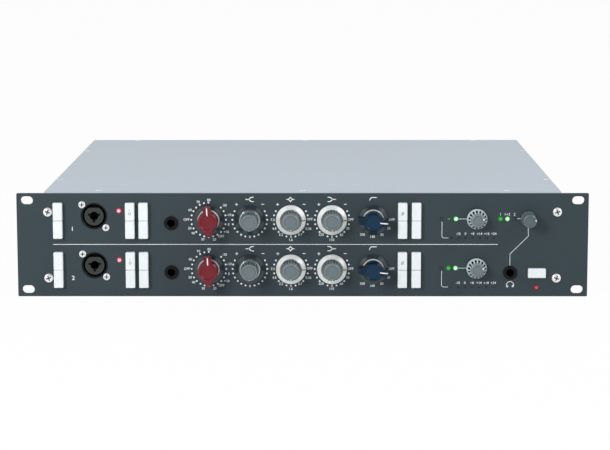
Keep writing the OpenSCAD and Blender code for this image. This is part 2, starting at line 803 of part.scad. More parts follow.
// The cover is one flat sheet, its front edge rounded over
module top_cover() {
    edge_r = 0.8 * sheet_t;
    color(pale_grey) difference() {
        rotate([90, 0, 90]) translate([0, 0, -case_w / 2]) linear_extrude(case_w) union() {
            translate([cover_start + edge_r, case_top - sheet_t])
                square([case_d - cover_start - edge_r, sheet_t]);
            translate([cover_start, case_top - sheet_t]) square([edge_r + 0.1, sheet_t - edge_r]);
            intersection() {
                translate([cover_start + edge_r, case_top - edge_r]) circle(edge_r);
                translate([cover_start, case_top - sheet_t]) square([edge_r + 0.05, sheet_t]);
            }
        }
        for (p = cover_screw_places()) translate([p[0], p[1], case_top]) flush_hole(screw3_r);
    }
}

// The same screws hold the cover, and the boards' posts on the floor
module cover_screws() {
    for (p = cover_screw_places()) translate([p[0], p[1], case_top])
        color(silver) flush_screw(head3_r, screw3_r, 6);
    for (p = floor_screw_places()) translate([p[0], p[1], case_bottom]) mirror([0, 0, 1])
        color(silver) flush_screw(head3_r, screw3_r, 6);
}

module panel_screws() {
    for (sx = [-1, 1]) for (sz = [-1, 1])
        on_panel(sx * panel_screw[0], sz * panel_screw[1], 20 * sx * sz)
            color(silver) pan_screw(3.85, 2.4, screw4_r, panel_t + 5);
}

// ---- Rear panel and its connectors ----

xlr_x = [for (x = [-188, -156, -124]) spread(x)];
rear_jack_x = [for (x = [-98, -80]) spread(x)];
channel_shift = spread(148);
xlr_flange = [26, 31];
xlr_screw = [9.5, 12];
xlr_r = 11.7;
inlet_x = case_w / 2 - 55;
inlet_size = [24.6, 19.6];
inlet_screw = 20;

function xlr_places() = [for (c = CHANNELS) for (x = xlr_x) [x + c * channel_shift, 0]];
function rear_jack_places() = [for (c = CHANNELS) for (x = rear_jack_x) [x + c * channel_shift, 0]];

module rear_panel() {
    plate_h = flange_top - case_bottom;
    top_w = 10;
    color(pale_grey) difference() {
        union() {
            translate([-case_w / 2, rear_y, case_bottom]) cube([case_w, sheet_t, plate_h]);
            translate([-case_w / 2 + flange_w + loose, rear_y - top_w, flange_top - sheet_t])
                cube([case_w - 2 * flange_w - 2 * loose, top_w, sheet_t]);
        }
        for (p = cover_screw_places()) translate([p[0], p[1], flange_top]) rod(screw3_r + fit, -5, 1);
        for (p = xlr_places()) on_rear(p[0], p[1]) {
            rod(xlr_r + hole_gap, -5, 1);
            at_all([[-xlr_screw[0], xlr_screw[1]], [xlr_screw[0], -xlr_screw[1]]])
                rod(screw3_r + 0.1, -5, 1);
        }
        for (p = rear_jack_places()) on_rear(p[0], p[1]) rod(jack_r + 1.3 + hole_gap, -5, 1);
        on_rear(inlet_x, 0) {
            block(inlet_size[0] + 4, inlet_size[1] + 4, -5, 1);
            at_all([[-inlet_screw, 0], [inlet_screw, 0]]) rod(screw3_r + 0.1, -5, 1);
        }
        for (sx = [-1, 1]) for (sz = [-1, 1])
            on_rear(sx * panel_screw[0], sz * panel_screw[1]) rod(screw3_r + 0.1, -5, 1);
    }
}

xlr_mouth = 9.6;
nose_deep = 3;
plug_well = 9.1;

// Shell with its square flange on the rear plate, round inside with a given radius
module xlr_shell(well_r) {
    color(steel) difference() {
        union() {
            linear_extrude(2) rounded_rect(xlr_flange[0], xlr_flange[1], 3);
            rod(xlr_r, -xlr_deep, 2);
        }
        rod(well_r, -xlr_deep + 3, 0);
        rod(xlr_mouth, -nose_deep, 3);
        at_all([[-xlr_screw[0], xlr_screw[1]], [xlr_screw[0], -xlr_screw[1]]])
            rod(screw3_r + fit, -3, 3);
        at_all([[-xlr_screw[0], xlr_screw[1]], [xlr_screw[0], -xlr_screw[1]]])
            translate([0, 0, 1]) rod(3.1, 0, 2);
    }
}

contact_r = 1.2;
contact_ring = 3.8;

module xlr_contacts() {
    for (turn = [30, 150, 270]) rotate([0, 0, turn]) translate([contact_ring, 0, 0]) children();
}

// Input socket: an insert with three holes, and the latch tab above it
module xlr_socket() {
    xlr_shell(xlr_mouth);
    color(black) difference() {
        rod(insert_r - 0.1, -xlr_deep + 3 + seat, 1.2);
        xlr_contacts() rod(contact_r + 0.15, -12, 3);
    }
    color(steel) translate([0, xlr_mouth - 0.5, 0]) block(5, 1.4, -4, 3);
}

// Output plug: three pins that end behind the wide mouth and the groove after it
module xlr_plug() {
    difference() {
        xlr_shell(plug_well);
        color(steel) rod(xlr_mouth + 0.4, -nose_deep - 0.6, -nose_deep);
    }
    color(silver) xlr_contacts() rod(contact_r, -xlr_deep + 3 + seat, -nose_deep - 0.3);
}

module rear_inputs() {
    for (c = CHANNELS) for (x = [xlr_x[0], xlr_x[1]]) on_rear(x + c * channel_shift, 0) xlr_socket();
}

module rear_outputs() {
    for (c = CHANNELS) on_rear(xlr_x[2] + c * channel_shift, 0) xlr_plug();
}

blade = [4, 2];

// Flange, recess with its two cut corners, and three blades
module mains_inlet() {
    w = inlet_size[0];
    h = inlet_size[1];
    on_rear(inlet_x, 0) {
        color(black) difference() {
            union() {
                linear_extrude(2.5) union() {
                    square([2 * inlet_screw, h + 7], center = true);
                    for (s = [-1, 1]) translate([s * inlet_screw, 0]) circle(5);
                }
                block(w + 3, h + 3, -inlet_deep - 6, 1);
            }
            translate([0, 0, -inlet_deep]) linear_extrude(inlet_deep + 4)
                polygon([[-w / 2, -h / 2], [w / 2, -h / 2], [w / 2, h / 2 - 4], [w / 2 - 4, h / 2],
                         [-w / 2 + 4, h / 2], [-w / 2, h / 2 - 4]]);
            at_all([[-inlet_screw, 0], [inlet_screw, 0]]) rod(screw3_r + fit, -3, 3);
        }
        color(silver) {
            for (s = [-1, 1]) translate([s * 7, -1, 0]) block(blade[1], blade[0], -inlet_deep, -4.5);
            translate([0, 3, 0]) block(blade[1], blade[0], -inlet_deep, -4.5);
        }
    }
}

// Screws of the front and rear sockets, and those of the rear plate
module connector_screws() {
    color(silver) {
        for (c = CHANNELS) on_panel(combo_x, row_z[c] + combo_dz)
            at_all([[-combo_screw[0], combo_screw[1]], [combo_screw[0], -combo_screw[1]]])
                pan_screw(3, 1.8, screw3_r, panel_t + 5);
        for (p = xlr_places()) on_rear(p[0], p[1])
            at_all([[-xlr_screw[0], xlr_screw[1]], [xlr_screw[0], -xlr_screw[1]]])
                translate([0, 0, 1]) pan_screw(2.7, 1.6, screw3_r, 7);
        on_rear(inlet_x, 0) at_all([[-inlet_screw, 0], [inlet_screw, 0]])
            translate([0, 0, 2.5]) pan_screw(2.7, 1.6, screw3_r, 8);
        for (sx = [-1, 1]) for (sz = [-1, 1])
            on_rear(sx * panel_screw[0], sz * panel_screw[1]) pan_screw(2.7, 1.6, screw3_r, 7);
    }
}

// ---- Circuit boards ----

post_r = 2.75;
board_posts = [for (x = [-195, -96, 7.6, 108]) spread(x)];
board_half = case_w / 2 - return_w - 1;
board_top = flange_top - sheet_t - 3;

// Upright board that the controls are soldered to, on posts behind the panel
module control_board() {
    jack_gap = jack_body[0] + 1;
    color(board_green) difference() {
        translate([-board_half, board_gap, -board_top]) cube([2 * board_half, board_t, 2 * board_top]);
        for (c = CHANNELS) {
            on_panel(combo_x, row_z[c] + combo_dz)
                rod(combo_r + 1, -panel_t - board_gap - 5, 0);
            on_panel(di_x, row_z[c] + di_dz) block(jack_gap, jack_gap, -panel_t - board_gap - 5, 0);
        }
        on_panel(phones_x, row_z[1] + phones_dz) block(jack_gap, jack_gap, -panel_t - board_gap - 5, 0);
    }
    color(steel) for (x = board_posts) on_panel(x, row_z[0] - channel_pitch / 2)
        rod(post_r, -panel_t - board_gap, -panel_t);
}

card_lift = 6;
card_y = 70;
card_span = spread(card_w);
card_x = [-case_w / 2 + 12 + card_span / 2, -case_w / 2 + 20 + 1.5 * card_span];
card_z = floor_z + card_lift;

function card_posts() = [for (x = card_x) for (sx = [-1, 1]) for (sy = [0, 1])
    [x + sx * (card_span / 2 - 6), card_y + 6 + sy * (card_d - 12)]];

function floor_screw_places() = concat(card_posts(), supply_posts());

// One board per channel, on posts that stand on the tray's floor
module channel_boards() {
    edge = card_span / 2 - 12;
    for (x = card_x) {
        color(board_green) translate([x - card_span / 2, card_y, card_z])
            cube([card_span, card_d, board_t]);
        translate([x, card_y, card_z + board_t]) {
            // Coupling capacitors along both edges, and a row of relays at the front
            color(black) for (i = [0:7]) {
                translate([-edge, 60 + 26 * i, 0]) cylinder(r = 6, h = 16);
                translate([edge, 60 + 26 * i, 0]) cylinder(r = 5, h = 12);
            }
            color([0.85, 0.85, 0.8]) for (i = [0:5])
                translate([(0.14 * i - 0.4) * card_span, 18, 0]) cube([14, 20, 10]);
        }
    }
    color(steel) for (p = card_posts()) translate([p[0], p[1], 0])
        tube(post_r, screw3_r, floor_z, card_z);
}

// Screened cans for the input, line and output transformers of each channel
module audio_transformers() {
    for (x = card_x) for (i = [0:2])
        translate([x, card_y + 90 + 70 * i, card_z + board_t]) color(silver)
            rotate_extrude() polygon([[0, 0], [can_r + 2, 0], [can_r + 2, 1.5], [can_r, 1.5],
                                      [can_r, can_h - 2], [can_r - 2, can_h], [0, can_h]]);
}

supply_x = case_w / 2 - 12 - 47;
toroid_y = case_d - 80;
supply_board = [88, 110];
supply_board_y = toroid_y - toroid_r - 10 - supply_board[1] / 2;
bolt_r = 3;

function supply_posts() = [for (sx = [-1, 1]) for (sy = [-1, 1])
    [supply_x + sx * (supply_board[0] / 2 - 6), supply_board_y + sy * (supply_board[1] / 2 - 6)]];

// Toroid on its bolt between two plates, and the regulator board in front of it
module power_supply() {
    core_r = 14;
    round_r = 5;
    dish_t = 2;
    translate([supply_x, toroid_y, floor_z]) {
        color([0.75, 0.6, 0.25]) rotate_extrude() polygon([
            [core_r, dish_t], [toroid_r - round_r, dish_t], [toroid_r, dish_t + round_r],
            [toroid_r, toroid_h - round_r], [toroid_r - round_r, toroid_h], [core_r, toroid_h]]);
        color(black) tube(toroid_r - 8, bolt_r + fit, 0, dish_t);
        color(steel) tube(toroid_r - 8, bolt_r + fit, toroid_h, toroid_h + dish_t);
        color(steel) {
            // The bolt's flush head lies in the floor
            rod(bolt_r, -sheet_t, toroid_h + dish_t + 7);
            translate([0, 0, -sheet_t])
                cylinder(r1 = bolt_r + head_step, r2 = bolt_r, h = head_step);
            hex_nut(10, bolt_r, toroid_h + dish_t, toroid_h + dish_t + 5);
        }
    }
    translate([supply_x, supply_board_y, card_z]) {
        color(board_green) block(supply_board[0], supply_board[1], 0, board_t);
        color(black) for (i = [0:3]) translate([-32 + 21 * i, 20, 0]) rod(9, board_t, 30);
        color(steel) translate([0, -25, 0]) block(70, 3, board_t, 32);
    }
    color(steel) for (p = supply_posts()) translate([p[0], p[1], 0])
        tube(post_r, screw3_r, floor_z, card_z);
}

// ---- Nodes ----

front_panel();
chassis_tray();
top_cover();
rear_panel();
panel_screws();
cover_screws();
connector_screws();
combo_sockets();
jack_sockets();
led_lenses();
rotary_bodies();
switch_bodies();
control_board();
channel_boards();
audio_transformers();
power_supply();
mains_inlet();
rear_inputs();
rear_outputs();
for (c = CHANNELS) {
    on_panel(gain_x, row_z[c]) pointer_knob(gain_turn[c], [0.50, 0.14, 0.19]);
    on_panel(hf_x, row_z[c]) skirted_knob(-90);
    on_panel(mf_x, row_z[c]) inner_knob(-90);
    on_panel(mf_x, row_z[c]) freq_ring(0);
    on_panel(lf_x, row_z[c]) inner_knob(-90);
    on_panel(lf_x, row_z[c]) freq_ring(0);
    on_panel(filter_x, row_z[c]) pointer_knob(-5, [0.10, 0.22, 0.36]);
    on_panel(level_x, row_z[c] + level_dz) push_plunger();
    level_knob(c);
    for (k = [0:4]) for (cap = [0, 1])
        channel_button(c, k, cap);
}
on_panel(volume_x, row_z[0] + volume_dz) push_plunger();  // volume_plunger
volume_knob();
power_button();
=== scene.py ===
import bpy
import bmesh
import json
import math
from mathutils import Matrix, Vector
from mathutils.bvhtree import BVHTree


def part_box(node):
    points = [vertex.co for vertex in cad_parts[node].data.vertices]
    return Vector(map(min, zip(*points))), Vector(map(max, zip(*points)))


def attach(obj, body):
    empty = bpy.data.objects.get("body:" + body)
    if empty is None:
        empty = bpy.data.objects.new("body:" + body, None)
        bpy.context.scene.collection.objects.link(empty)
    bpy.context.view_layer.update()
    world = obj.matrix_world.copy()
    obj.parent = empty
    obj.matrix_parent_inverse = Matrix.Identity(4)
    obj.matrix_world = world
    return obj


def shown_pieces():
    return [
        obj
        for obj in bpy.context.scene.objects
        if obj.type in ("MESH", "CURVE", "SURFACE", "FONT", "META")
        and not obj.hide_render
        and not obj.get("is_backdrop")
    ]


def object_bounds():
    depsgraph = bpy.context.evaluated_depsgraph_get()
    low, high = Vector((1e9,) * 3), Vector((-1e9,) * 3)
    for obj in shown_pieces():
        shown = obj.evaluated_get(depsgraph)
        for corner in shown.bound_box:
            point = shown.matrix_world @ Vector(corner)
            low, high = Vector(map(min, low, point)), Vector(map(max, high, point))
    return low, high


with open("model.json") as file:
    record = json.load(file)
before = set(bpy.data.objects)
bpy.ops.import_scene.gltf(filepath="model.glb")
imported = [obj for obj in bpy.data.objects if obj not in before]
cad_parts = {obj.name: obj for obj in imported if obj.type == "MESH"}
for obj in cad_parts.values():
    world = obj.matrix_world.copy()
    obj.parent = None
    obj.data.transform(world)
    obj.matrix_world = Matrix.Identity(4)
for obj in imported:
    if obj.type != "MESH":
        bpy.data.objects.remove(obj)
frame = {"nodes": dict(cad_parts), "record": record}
nodes = frame["nodes"]
cadLow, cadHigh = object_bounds()
mm = 0.001
channels = (1, 2)
print("frame loaded:", len(nodes), "nodes")


photo = {"width": 610, "height": 450}
viewpoint = {"place": (0.01308, -1.73308, 0.27922), "turn": 0.3597, "tilt": -8.6139, "roll": -0.0513,
             "lens": 122.3, "sensor": 36.0}

# Pixels of the photograph, x to the right and y down
imagePoints = {
    "leftEdge": (16.1, None),
    "rightEdge": (589.1, None),
    "coverTop": (None, 139.9),
    "panelFoot": (None, 296.6),
    "slotUpperLeft": (26.8, 200.6),
    "slotLowerLeft": (28.7, 289.1),
    "slotUpperRight": (578.2, 200.2),
    "slotLowerRight": (576.6, 289.4),
    "digitOne": (72.3, 228.8),
    "digitTwo": (73.3, 277.8),
    "dividerLeft": (53.1, 244.6),
    "dividerRight": (498.0, 244.2),
    "highShelfSign": (249.5, 199.4),
    "bellSign": (290.4, 199.4),
    "lowShelfSign": (331.8, 199.4),
    "highPassSign": (373.0, 198.8),
    "levelCorner": (441.9, 237.9),
    "volumeBend": (528.4, 236.0),
    "phonesBend": (510.0, 253.9),
    "phonesSign": (510.0, 284.3),
}


def makeCamera():
    made = bpy.data.objects.new("photoCamera", bpy.data.cameras.new("photoCamera"))
    made.data.sensor_fit = "AUTO"
    made.data.sensor_width = viewpoint["sensor"]
    made.data.lens = viewpoint["lens"]
    made.data.clip_end = 50
    aim = (Matrix.Rotation(math.radians(viewpoint["turn"]), 4, "Z")
           @ Matrix.Rotation(math.radians(90 + viewpoint["tilt"]), 4, "X")
           @ Matrix.Rotation(math.radians(viewpoint["roll"]), 4, "Z"))
    made.matrix_world = Matrix.Translation(viewpoint["place"]) @ aim
    bpy.context.scene.collection.objects.link(made)
    bpy.context.scene.camera = made
    return made


camera = makeCamera()
longSide = max(photo["width"], photo["height"])


def pixelOf(point):
    # where a place in the row frame shows in the photograph
    p = camera.matrix_world.inverted() @ Vector(point)
    scale = longSide * camera.data.lens / camera.data.sensor_width / -p.z
    return (photo["width"] / 2 + p.x * scale - camera.data.shift_x * longSide,
            photo["height"] / 2 - p.y * scale + camera.data.shift_y * longSide)


def treeOf(*names):
    # one BVH tree of several nodes as they stand
    vertices, faces = [], []
    for name in names:
        mesh = nodes[name].data
        start = len(vertices)
        vertices += [v.co.copy() for v in mesh.vertices]
        faces += [[start + i for i in f.vertices] for f in mesh.polygons]
    return BVHTree.FromPolygons(vertices, faces)


# where along a ray that misses its carrier the nearest place is looked for
rayWalk = {"from": 1.4, "step": 2 * mm, "count": 500}


def placeAt(point, tree):
    # the place on the carrier that shows at an image point, or the nearest place to that ray
    x, y = point
    ray = Vector((x - photo["width"] / 2 + camera.data.shift_x * longSide,
                  photo["height"] / 2 - y + camera.data.shift_y * longSide,
                  -longSide * camera.data.lens / camera.data.sensor_width))
    start = camera.matrix_world.translation
    way = (camera.matrix_world.to_3x3() @ ray).normalized()
    hit = tree.ray_cast(start, way)[0]
    if hit is not None:
        return hit
    steps = [start + way * (rayWalk["from"] + rayWalk["step"] * i) for i in range(rayWalk["count"])]
    near = [tree.find_nearest(s) for s in steps]
    return min(near, key=lambda n: n[3])[0]


panelTree = treeOf("front_panel")
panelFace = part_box("front_panel")[0].y


class Wire:
    # a socket of a material; operators on it add Math nodes
    def __init__(self, finish, socket):
        self.finish = finish
        self.socket = socket

    def math(self, operation, first, second=None):
        inputs = {0: first}
        if second is not None:
            inputs[1] = second
        return self.finish.node("ShaderNodeMath", {"operation": operation}, inputs)

    def __add__(self, other):
        return self.math("ADD", self, other)

    def __radd__(self, other):
        return self.math("ADD", other, self)

    def __sub__(self, other):
        return self.math("SUBTRACT", self, other)

    def __rsub__(self, other):
        return self.math("SUBTRACT", other, self)

    def __mul__(self, other):
        return self.math("MULTIPLY", self, other)

    def __rmul__(self, other):
        return self.math("MULTIPLY", other, self)

    def __pow__(self, other):
        return self.math("POWER", self, other)

    def less(self, other):
        return self.math("MINIMUM", self, other)

    def more(self, other):
        return self.math("MAXIMUM", self, other)

    def above(self, limit):
        return self.math("GREATER_THAN", self, limit)

    def step(self, low, high):
        # 0 below low, 1 above high, smooth between
        return self.finish.node("ShaderNodeMapRange", {"interpolation_type": "SMOOTHSTEP"},
                                {"Value": self, "From Min": low, "From Max": high})


class Graph:
    # a node tree, and one way of adding a node to it
    def __init__(self, tree):
        self.tree = tree

    def node(self, kind, settings, inputs, output=0):
        made = self.tree.nodes.new(kind)
        for name, value in settings.items():
            setattr(made, name, value)
        for name, value in inputs.items():
            if isinstance(value, Wire):
                self.tree.links.new(value.socket, made.inputs[name])
            else:
                made.inputs[name].default_value = value
        return Wire(self, made.outputs[output])

    def seenDirectly(self):
        # 1 for rays of the eye, and for those that a reflection or glass sends on
        rays = [self.node("ShaderNodeLightPath", {}, {}, ray)
                for ray in ("Is Camera Ray", "Is Glossy Ray", "Is Transmission Ray")]
        return rays[0].more(rays[1]).more(rays[2])


class Finish(Graph):
    # one material, with its coordinates in metres of the row frame
    def __init__(self, name):
        self.material = bpy.data.materials.new(name)
        self.material.use_nodes = True
        super().__init__(self.material.node_tree)
        self.shader = self.tree.nodes["Principled BSDF"]
        self.place = self.node("ShaderNodeTexCoord", {}, {}, "Object")

    def axis(self, letter):
        return self.node("ShaderNodeSeparateXYZ", {}, {0: self.place}, letter)

    def mix(self, share, first, second):
        # colours from first to second
        return self.node("ShaderNodeMix", {"data_type": "RGBA"}, {0: share, 6: first, 7: second}, 2)

    def shade(self, tone, factor):
        # a colour times a grey value that varies
        tone = tone if isinstance(tone, Wire) else tone[:3]
        grey = self.node("ShaderNodeCombineXYZ", {}, {0: factor, 1: factor, 2: factor})
        return self.node("ShaderNodeVectorMath", {"operation": "MULTIPLY"}, {0: tone, 1: grey})

    def stretched(self, scale, turn=(0, 0, 0)):
        return self.node("ShaderNodeMapping", {}, {"Vector": self.place, "Scale": scale, "Rotation": turn})

    def noise(self, size, detail=3.0, rough=0.5, place=None):
        # mottling with blotches about size metres across
        return self.node("ShaderNodeTexNoise", {}, {"Vector": place or self.place, "Scale": 1 / size,
                                                   "Detail": detail, "Roughness": rough}, "Fac")

    def radius(self, x, z):
        # distance from an axis that runs along Y
        return self.node("ShaderNodeMath", {"operation": "SQRT"},
                         {0: (self.axis("X") - x) ** 2.0 + (self.axis("Z") - z) ** 2.0})

    def nearest(self, places):
        # distance from the nearest of several such axes
        near = self.radius(*places[0])
        for x, z in places[1:]:
            near = near.less(self.radius(x, z))
        return near

    def bump(self, height, depth):
        return self.node("ShaderNodeBump", {}, {"Height": height, "Distance": depth}, "Normal")

    def set(self, **values):
        # shader sockets by name in camelCase: a wire is linked, a number is set
        for name, value in values.items():
            label = "".join(" " + c if c.isupper() else c for c in name)
            socket = self.shader.inputs[(label[0].upper() + label[1:]).replace("I O R", "IOR")]
            if isinstance(value, Wire):
                self.tree.links.new(value.socket, socket)
            else:
                socket.default_value = value
        return self.material


def colour(red, green, blue):
    # screen values 0-255 as the photograph shows them, made linear
    def linear(v):
        v /= 255
        return v / 12.92 if v <= 0.04045 else ((v + 0.055) / 1.055) ** 2.4
    return (linear(red), linear(green), linear(blue), 1.0)


def rise(pair, share):
    # from the first of the pair, by as much as the second
    return pair[0] + pair[1] * share


def wear(material, *names):
    # puts a material on CAD nodes
    for name in names:
        mesh = nodes[name].data
        mesh.materials.clear()
        mesh.materials.append(material)


# spread is the least tone, and how much the mottling and the grain add to it
plastic = {"grain": 0.25 * mm, "grainDepth": 0.01 * mm, "mottle": 6 * mm, "mottleDetail": 2.0,
           "spread": (0.93, 0.1, 0.04)}
caps = [f"button_{c}{k}_{cap}" for c in channels for k in "abcde" for cap in ("top", "bottom")]
coats = {
    "panelPaint": {"tone": (50, 63, 69), "grain": 0.35 * mm, "grainDepth": 0.02 * mm, "mottle": 60 * mm,
                   "mottleDetail": 2.0, "spread": (0.94, 0.08, 0.06), "roughness": (0.4, 0.2),
                   "shine": 0.28, "nodes": ["front_panel"]},
    "casePaint": {"tone": (185, 197, 210), "grain": 0.5 * mm, "grainDepth": 0.025 * mm, "mottle": 90 * mm,
                  "mottleDetail": 3.0, "spread": (0.96, 0.05, 0.02), "roughness": (0.34, 0.16),
                  "shine": 0.4, "nodes": ["chassis_tray", "top_cover", "rear_panel"]},
    "switchBlack": {**plastic, "tone": (34, 36, 38), "roughness": (0.425, 0.15), "shine": 0.5,
                    "nodes": ["switch_bodies"]},
    "jackBlack": {**plastic, "tone": (20, 22, 23), "roughness": (0.255, 0.09), "shine": 0.15,
                  "nodes": ["jack_sockets", "mains_inlet"]},
    "capWhite": {**plastic, "tone": (232, 238, 240), "roughness": (0.289, 0.102), "shine": 0.3,
                 "nodes": ["power_button"] + caps},
}


def makeCoat(name, look):
    # an even coat or plastic with a fine grain and a faint mottling
    coat = Finish(name)
    grain = coat.noise(look["grain"], 2.0)
    mottle = coat.noise(look["mottle"], look["mottleDetail"])
    least, byMottle, byGrain = look["spread"]
    base = coat.shade(colour(*look["tone"]), least + byMottle * mottle + byGrain * grain)
    return coat.set(baseColor=base, roughness=rise(look["roughness"], grain), specularIORLevel=look["shine"],
                    normal=coat.bump(grain, look["grainDepth"]))


for name, look in coats.items():
    wear(makeCoat(name, look), *look["nodes"])
print("paint and plastics done")


# recess is how far one reaches from its head's centre, and the heights between which its painted shade lies
screw = {"tone": (246, 248, 248), "roughness": 0.32, "scratch": 0.6 * mm, "depth": 0.004 * mm,
         "metallic": 0.4, "recessShadeTone": (70, 76, 80)}
metals = {
    "nickelScrew": {"tone": (240, 242, 242), "roughness": 0.3, "scratch": 0.6 * mm, "depth": 0.004 * mm,
                    "metallic": 0.7, "nodes": ["cover_screws"]},
    "turnedSteel": {"tone": (168, 172, 174), "roughness": 0.32, "scratch": 0.4 * mm, "depth": 0.006 * mm,
                    "metallic": 1.0,
                    "nodes": ["rotary_bodies", "level_plunger_1", "level_plunger_2", "volume_plunger"]},
    "canMetal": {"tone": (186, 190, 193), "roughness": 0.3, "scratch": 0.8 * mm, "depth": 0.01 * mm,
                 "metallic": 1.0, "nodes": ["audio_transformers"]},
    "panel_screwsPlate": {**screw, "nodes": ["panel_screws"], "recess": (2.2 * mm, 0.2 * mm, 2.05 * mm),
                          "heads": [(x * mm, z * mm) for x in (-215, 215) for z in (-28.25, 28.25)]},
    "connector_screwsPlate": {**screw, "nodes": ["connector_screws"],
                              "recess": (1.75 * mm, 0.2 * mm, 1.5 * mm),
                              "heads": [(x * mm, z * mm) for x, z in
                                        ((-186, 34.5), (-166, 14.9), (-186, -7.6), (-166, -27.2))]},
}


def makeMetal(name, look):
    # finely scratched, faintly cloudy over a span twenty times as wide, and with painted shade down in a
    # recess
    metal = Finish(name)
    fine = metal.noise(look["scratch"], 4.0, 0.6)
    cloud = metal.noise(look["scratch"] * 20, 2.0)
    tone = colour(*look["tone"])
    if "recess" in look:
        reach, foot, under = look["recess"]
        height = panelFace - metal.axis("Y")
        # painted shade: inside the cross recess, below the head's top, the tone turns dark grey
        shadedRecessMask = (1.0 - metal.nearest(look["heads"]).above(reach)) * height.above(foot)
        tone = metal.mix(shadedRecessMask * (1.0 - height.above(under)), tone, colour(*look["recessShadeTone"]))
    return metal.set(baseColor=metal.shade(tone, 0.9 + 0.14 * cloud), metallic=look["metallic"],
                     roughness=look["roughness"] * (0.8 + 0.4 * fine), normal=metal.bump(fine, look["depth"]))


for name, look in metals.items():
    wear(makeMetal(name, look), *look["nodes"])
print("metal done")


knobLook = {"grain": 0.3 * mm, "grainDepth": 0.01 * mm, "cloud": 5 * mm, "roughness": (0.22, 0.14),
            "shine": 0.25, "coatRoughness": 0.16}
# the foot that skirted knobs share: a dark skirt, and a collar between these heights
skirtLook = {"tone": (38, 52, 57), "collarFoot": 3.505 * mm, "collarTop": 6.115 * mm, "smoother": 0.08,
             "coat": 0.5}
# the recessed disc in a grip's front, the painted shade in the line round it, the painted highlight on the
# lip beyond it, and how wide that lip is
discLook = {"shadow": 0.7, "line": 0.35 * mm, "lip": 1.18, "lipWide": 1.5 * mm, "soft": 0.3 * mm}
# disc is its radius, flutes say how far out and how high their bottoms lie, which take painted shade, wings
# where they begin, collar gives its colour and how metallic it is
plainGrip = {"tone": (106, 118, 122), "disc": 5.0 * mm, "flutes": (7.7 * mm, 15.2 * mm)}
grips = {
    "gain_knob": {"tone": (111, 30, 42), "disc": 6.1 * mm, "collar": ((240, 243, 243), 0.4)},
    "filter_knob": {"tone": (2, 44, 70), "disc": 6.1 * mm, "wings": 6.9 * mm,
                    "collar": ((240, 243, 243), 0.4)},
    "hf_gain_knob": {"tone": (106, 118, 122), "disc": 5.2 * mm, "flutes": (7.2 * mm, 18.5 * mm),
                     "collar": ((176, 184, 186), 0.85)},
    "mf_gain_knob": plainGrip,
    "lf_gain_knob": plainGrip,
}
# how dark the painted shade in the flute bottoms is, and how dark the wings are
gripShades = {"flutes": 0.4, "wings": 0.5}


def dialCentre(name):
    low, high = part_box(name)
    return (low.x + high.x) / 2, (low.z + high.z) / 2


def discShade(radius, disc):
    # painted shade in a line round the recessed disc, and a painted highlight on the lip beyond it
    lip = disc + discLook["lipWide"]
    line = radius.above(disc) * (discLook["shadow"] - 1)
    paintedLipHighlight = radius.above(disc + discLook["line"]) * (discLook["lip"] - discLook["shadow"])
    side = radius.step(lip, lip + discLook["soft"]) * (1 - discLook["lip"])
    return 1.0 + line + paintedLipHighlight + side


def makeKnob(name, look):
    knob = Finish(name + "Finish")
    height = panelFace - knob.axis("Y")
    grain = knob.noise(knobLook["grain"], 2.0)
    cloud = knob.noise(knobLook["cloud"], 2.0)
    radius = knob.radius(*dialCentre(name))
    # discShade paints shade round the disc and a highlight on its lip
    body = knob.shade(colour(*look["tone"]),
                      (0.92 + 0.12 * cloud + 0.04 * grain) * discShade(radius, look["disc"]))
    # painted shade: the flute bottoms, below the knob's front, are darkened
    if "flutes" in look:
        reach, under = look["flutes"]
        low = (1.0 - radius.above(reach)) * (1.0 - height.above(under))
        body = knob.shade(body, 1.0 - low * (1.0 - gripShades["flutes"]))
    if "wings" in look:
        body = knob.shade(body, 1.0 - (1.0 - gripShades["wings"]) * radius.above(look["wings"]))
    roughness = rise(knobLook["roughness"], grain)
    metallic, coat = 0.0, 0.0
    if "collar" in look:
        tone, polish = look["collar"]
        lowDown = 1.0 - height.above(skirtLook["collarTop"])
        onCollar = height.above(skirtLook["collarFoot"]) * lowDown
        skirt = knob.shade(colour(*skirtLook["tone"]), 0.9 + 0.2 * cloud)
        body = knob.mix(lowDown, body, skirt)
        body = knob.mix(onCollar, body, colour(*tone))
        roughness = roughness - lowDown * skirtLook["smoother"]
        metallic, coat = onCollar * polish, lowDown * skirtLook["coat"]
    return knob.set(baseColor=body, roughness=roughness, metallic=metallic, coatWeight=coat,
                    specularIORLevel=knobLook["shine"], coatRoughness=knobLook["coatRoughness"],
                    normal=knob.bump(grain, knobLook["grainDepth"]))


for channel in channels:
    for grip, look in grips.items():
        wear(makeKnob(f"{grip}_{channel}", look), f"{grip}_{channel}")


ringLook = {"tone": (240, 245, 243), "hairline": 0.16 * mm, "stretch": 60, "lean": 35, "depth": 0.006 * mm,
            "cloud": 4 * mm, "metallic": 0.35, "roughness": (0.4, 0.16)}


def makeRingMetal():
    # brushed one way, with hairlines that lean across the ring
    metal = Finish("brushedRing")
    along = metal.stretched((1, 1, ringLook["stretch"]), (0, math.radians(ringLook["lean"]), 0))
    hairs = metal.noise(ringLook["hairline"] * ringLook["stretch"], 3.0, 0.6, along)
    cloud = metal.noise(ringLook["cloud"], 2.0)
    base = metal.shade(colour(*ringLook["tone"]), 0.86 + 0.12 * hairs + 0.06 * cloud)
    return metal.set(baseColor=base, metallic=ringLook["metallic"],
                     roughness=rise(ringLook["roughness"], hairs),
                     normal=metal.bump(hairs, ringLook["depth"]))


wear(makeRingMetal(), *[f"{band}_freq_ring_{c}" for band in ("mf", "lf") for c in channels])
# line and lip are where the painted shade line and the painted highlight round the front disc begin
outputLook = {"grain": 0.25 * mm, "grainDepth": 0.01 * mm, "cloud": 6 * mm, "foot": (5.7 * mm, 6.3 * mm),
              "line": 3.9 * mm, "lineShade": -0.14, "lip": 4.3 * mm, "lipShade": 0.3,
              "roughness": (0.26, 0.1), "shine": 0.3}
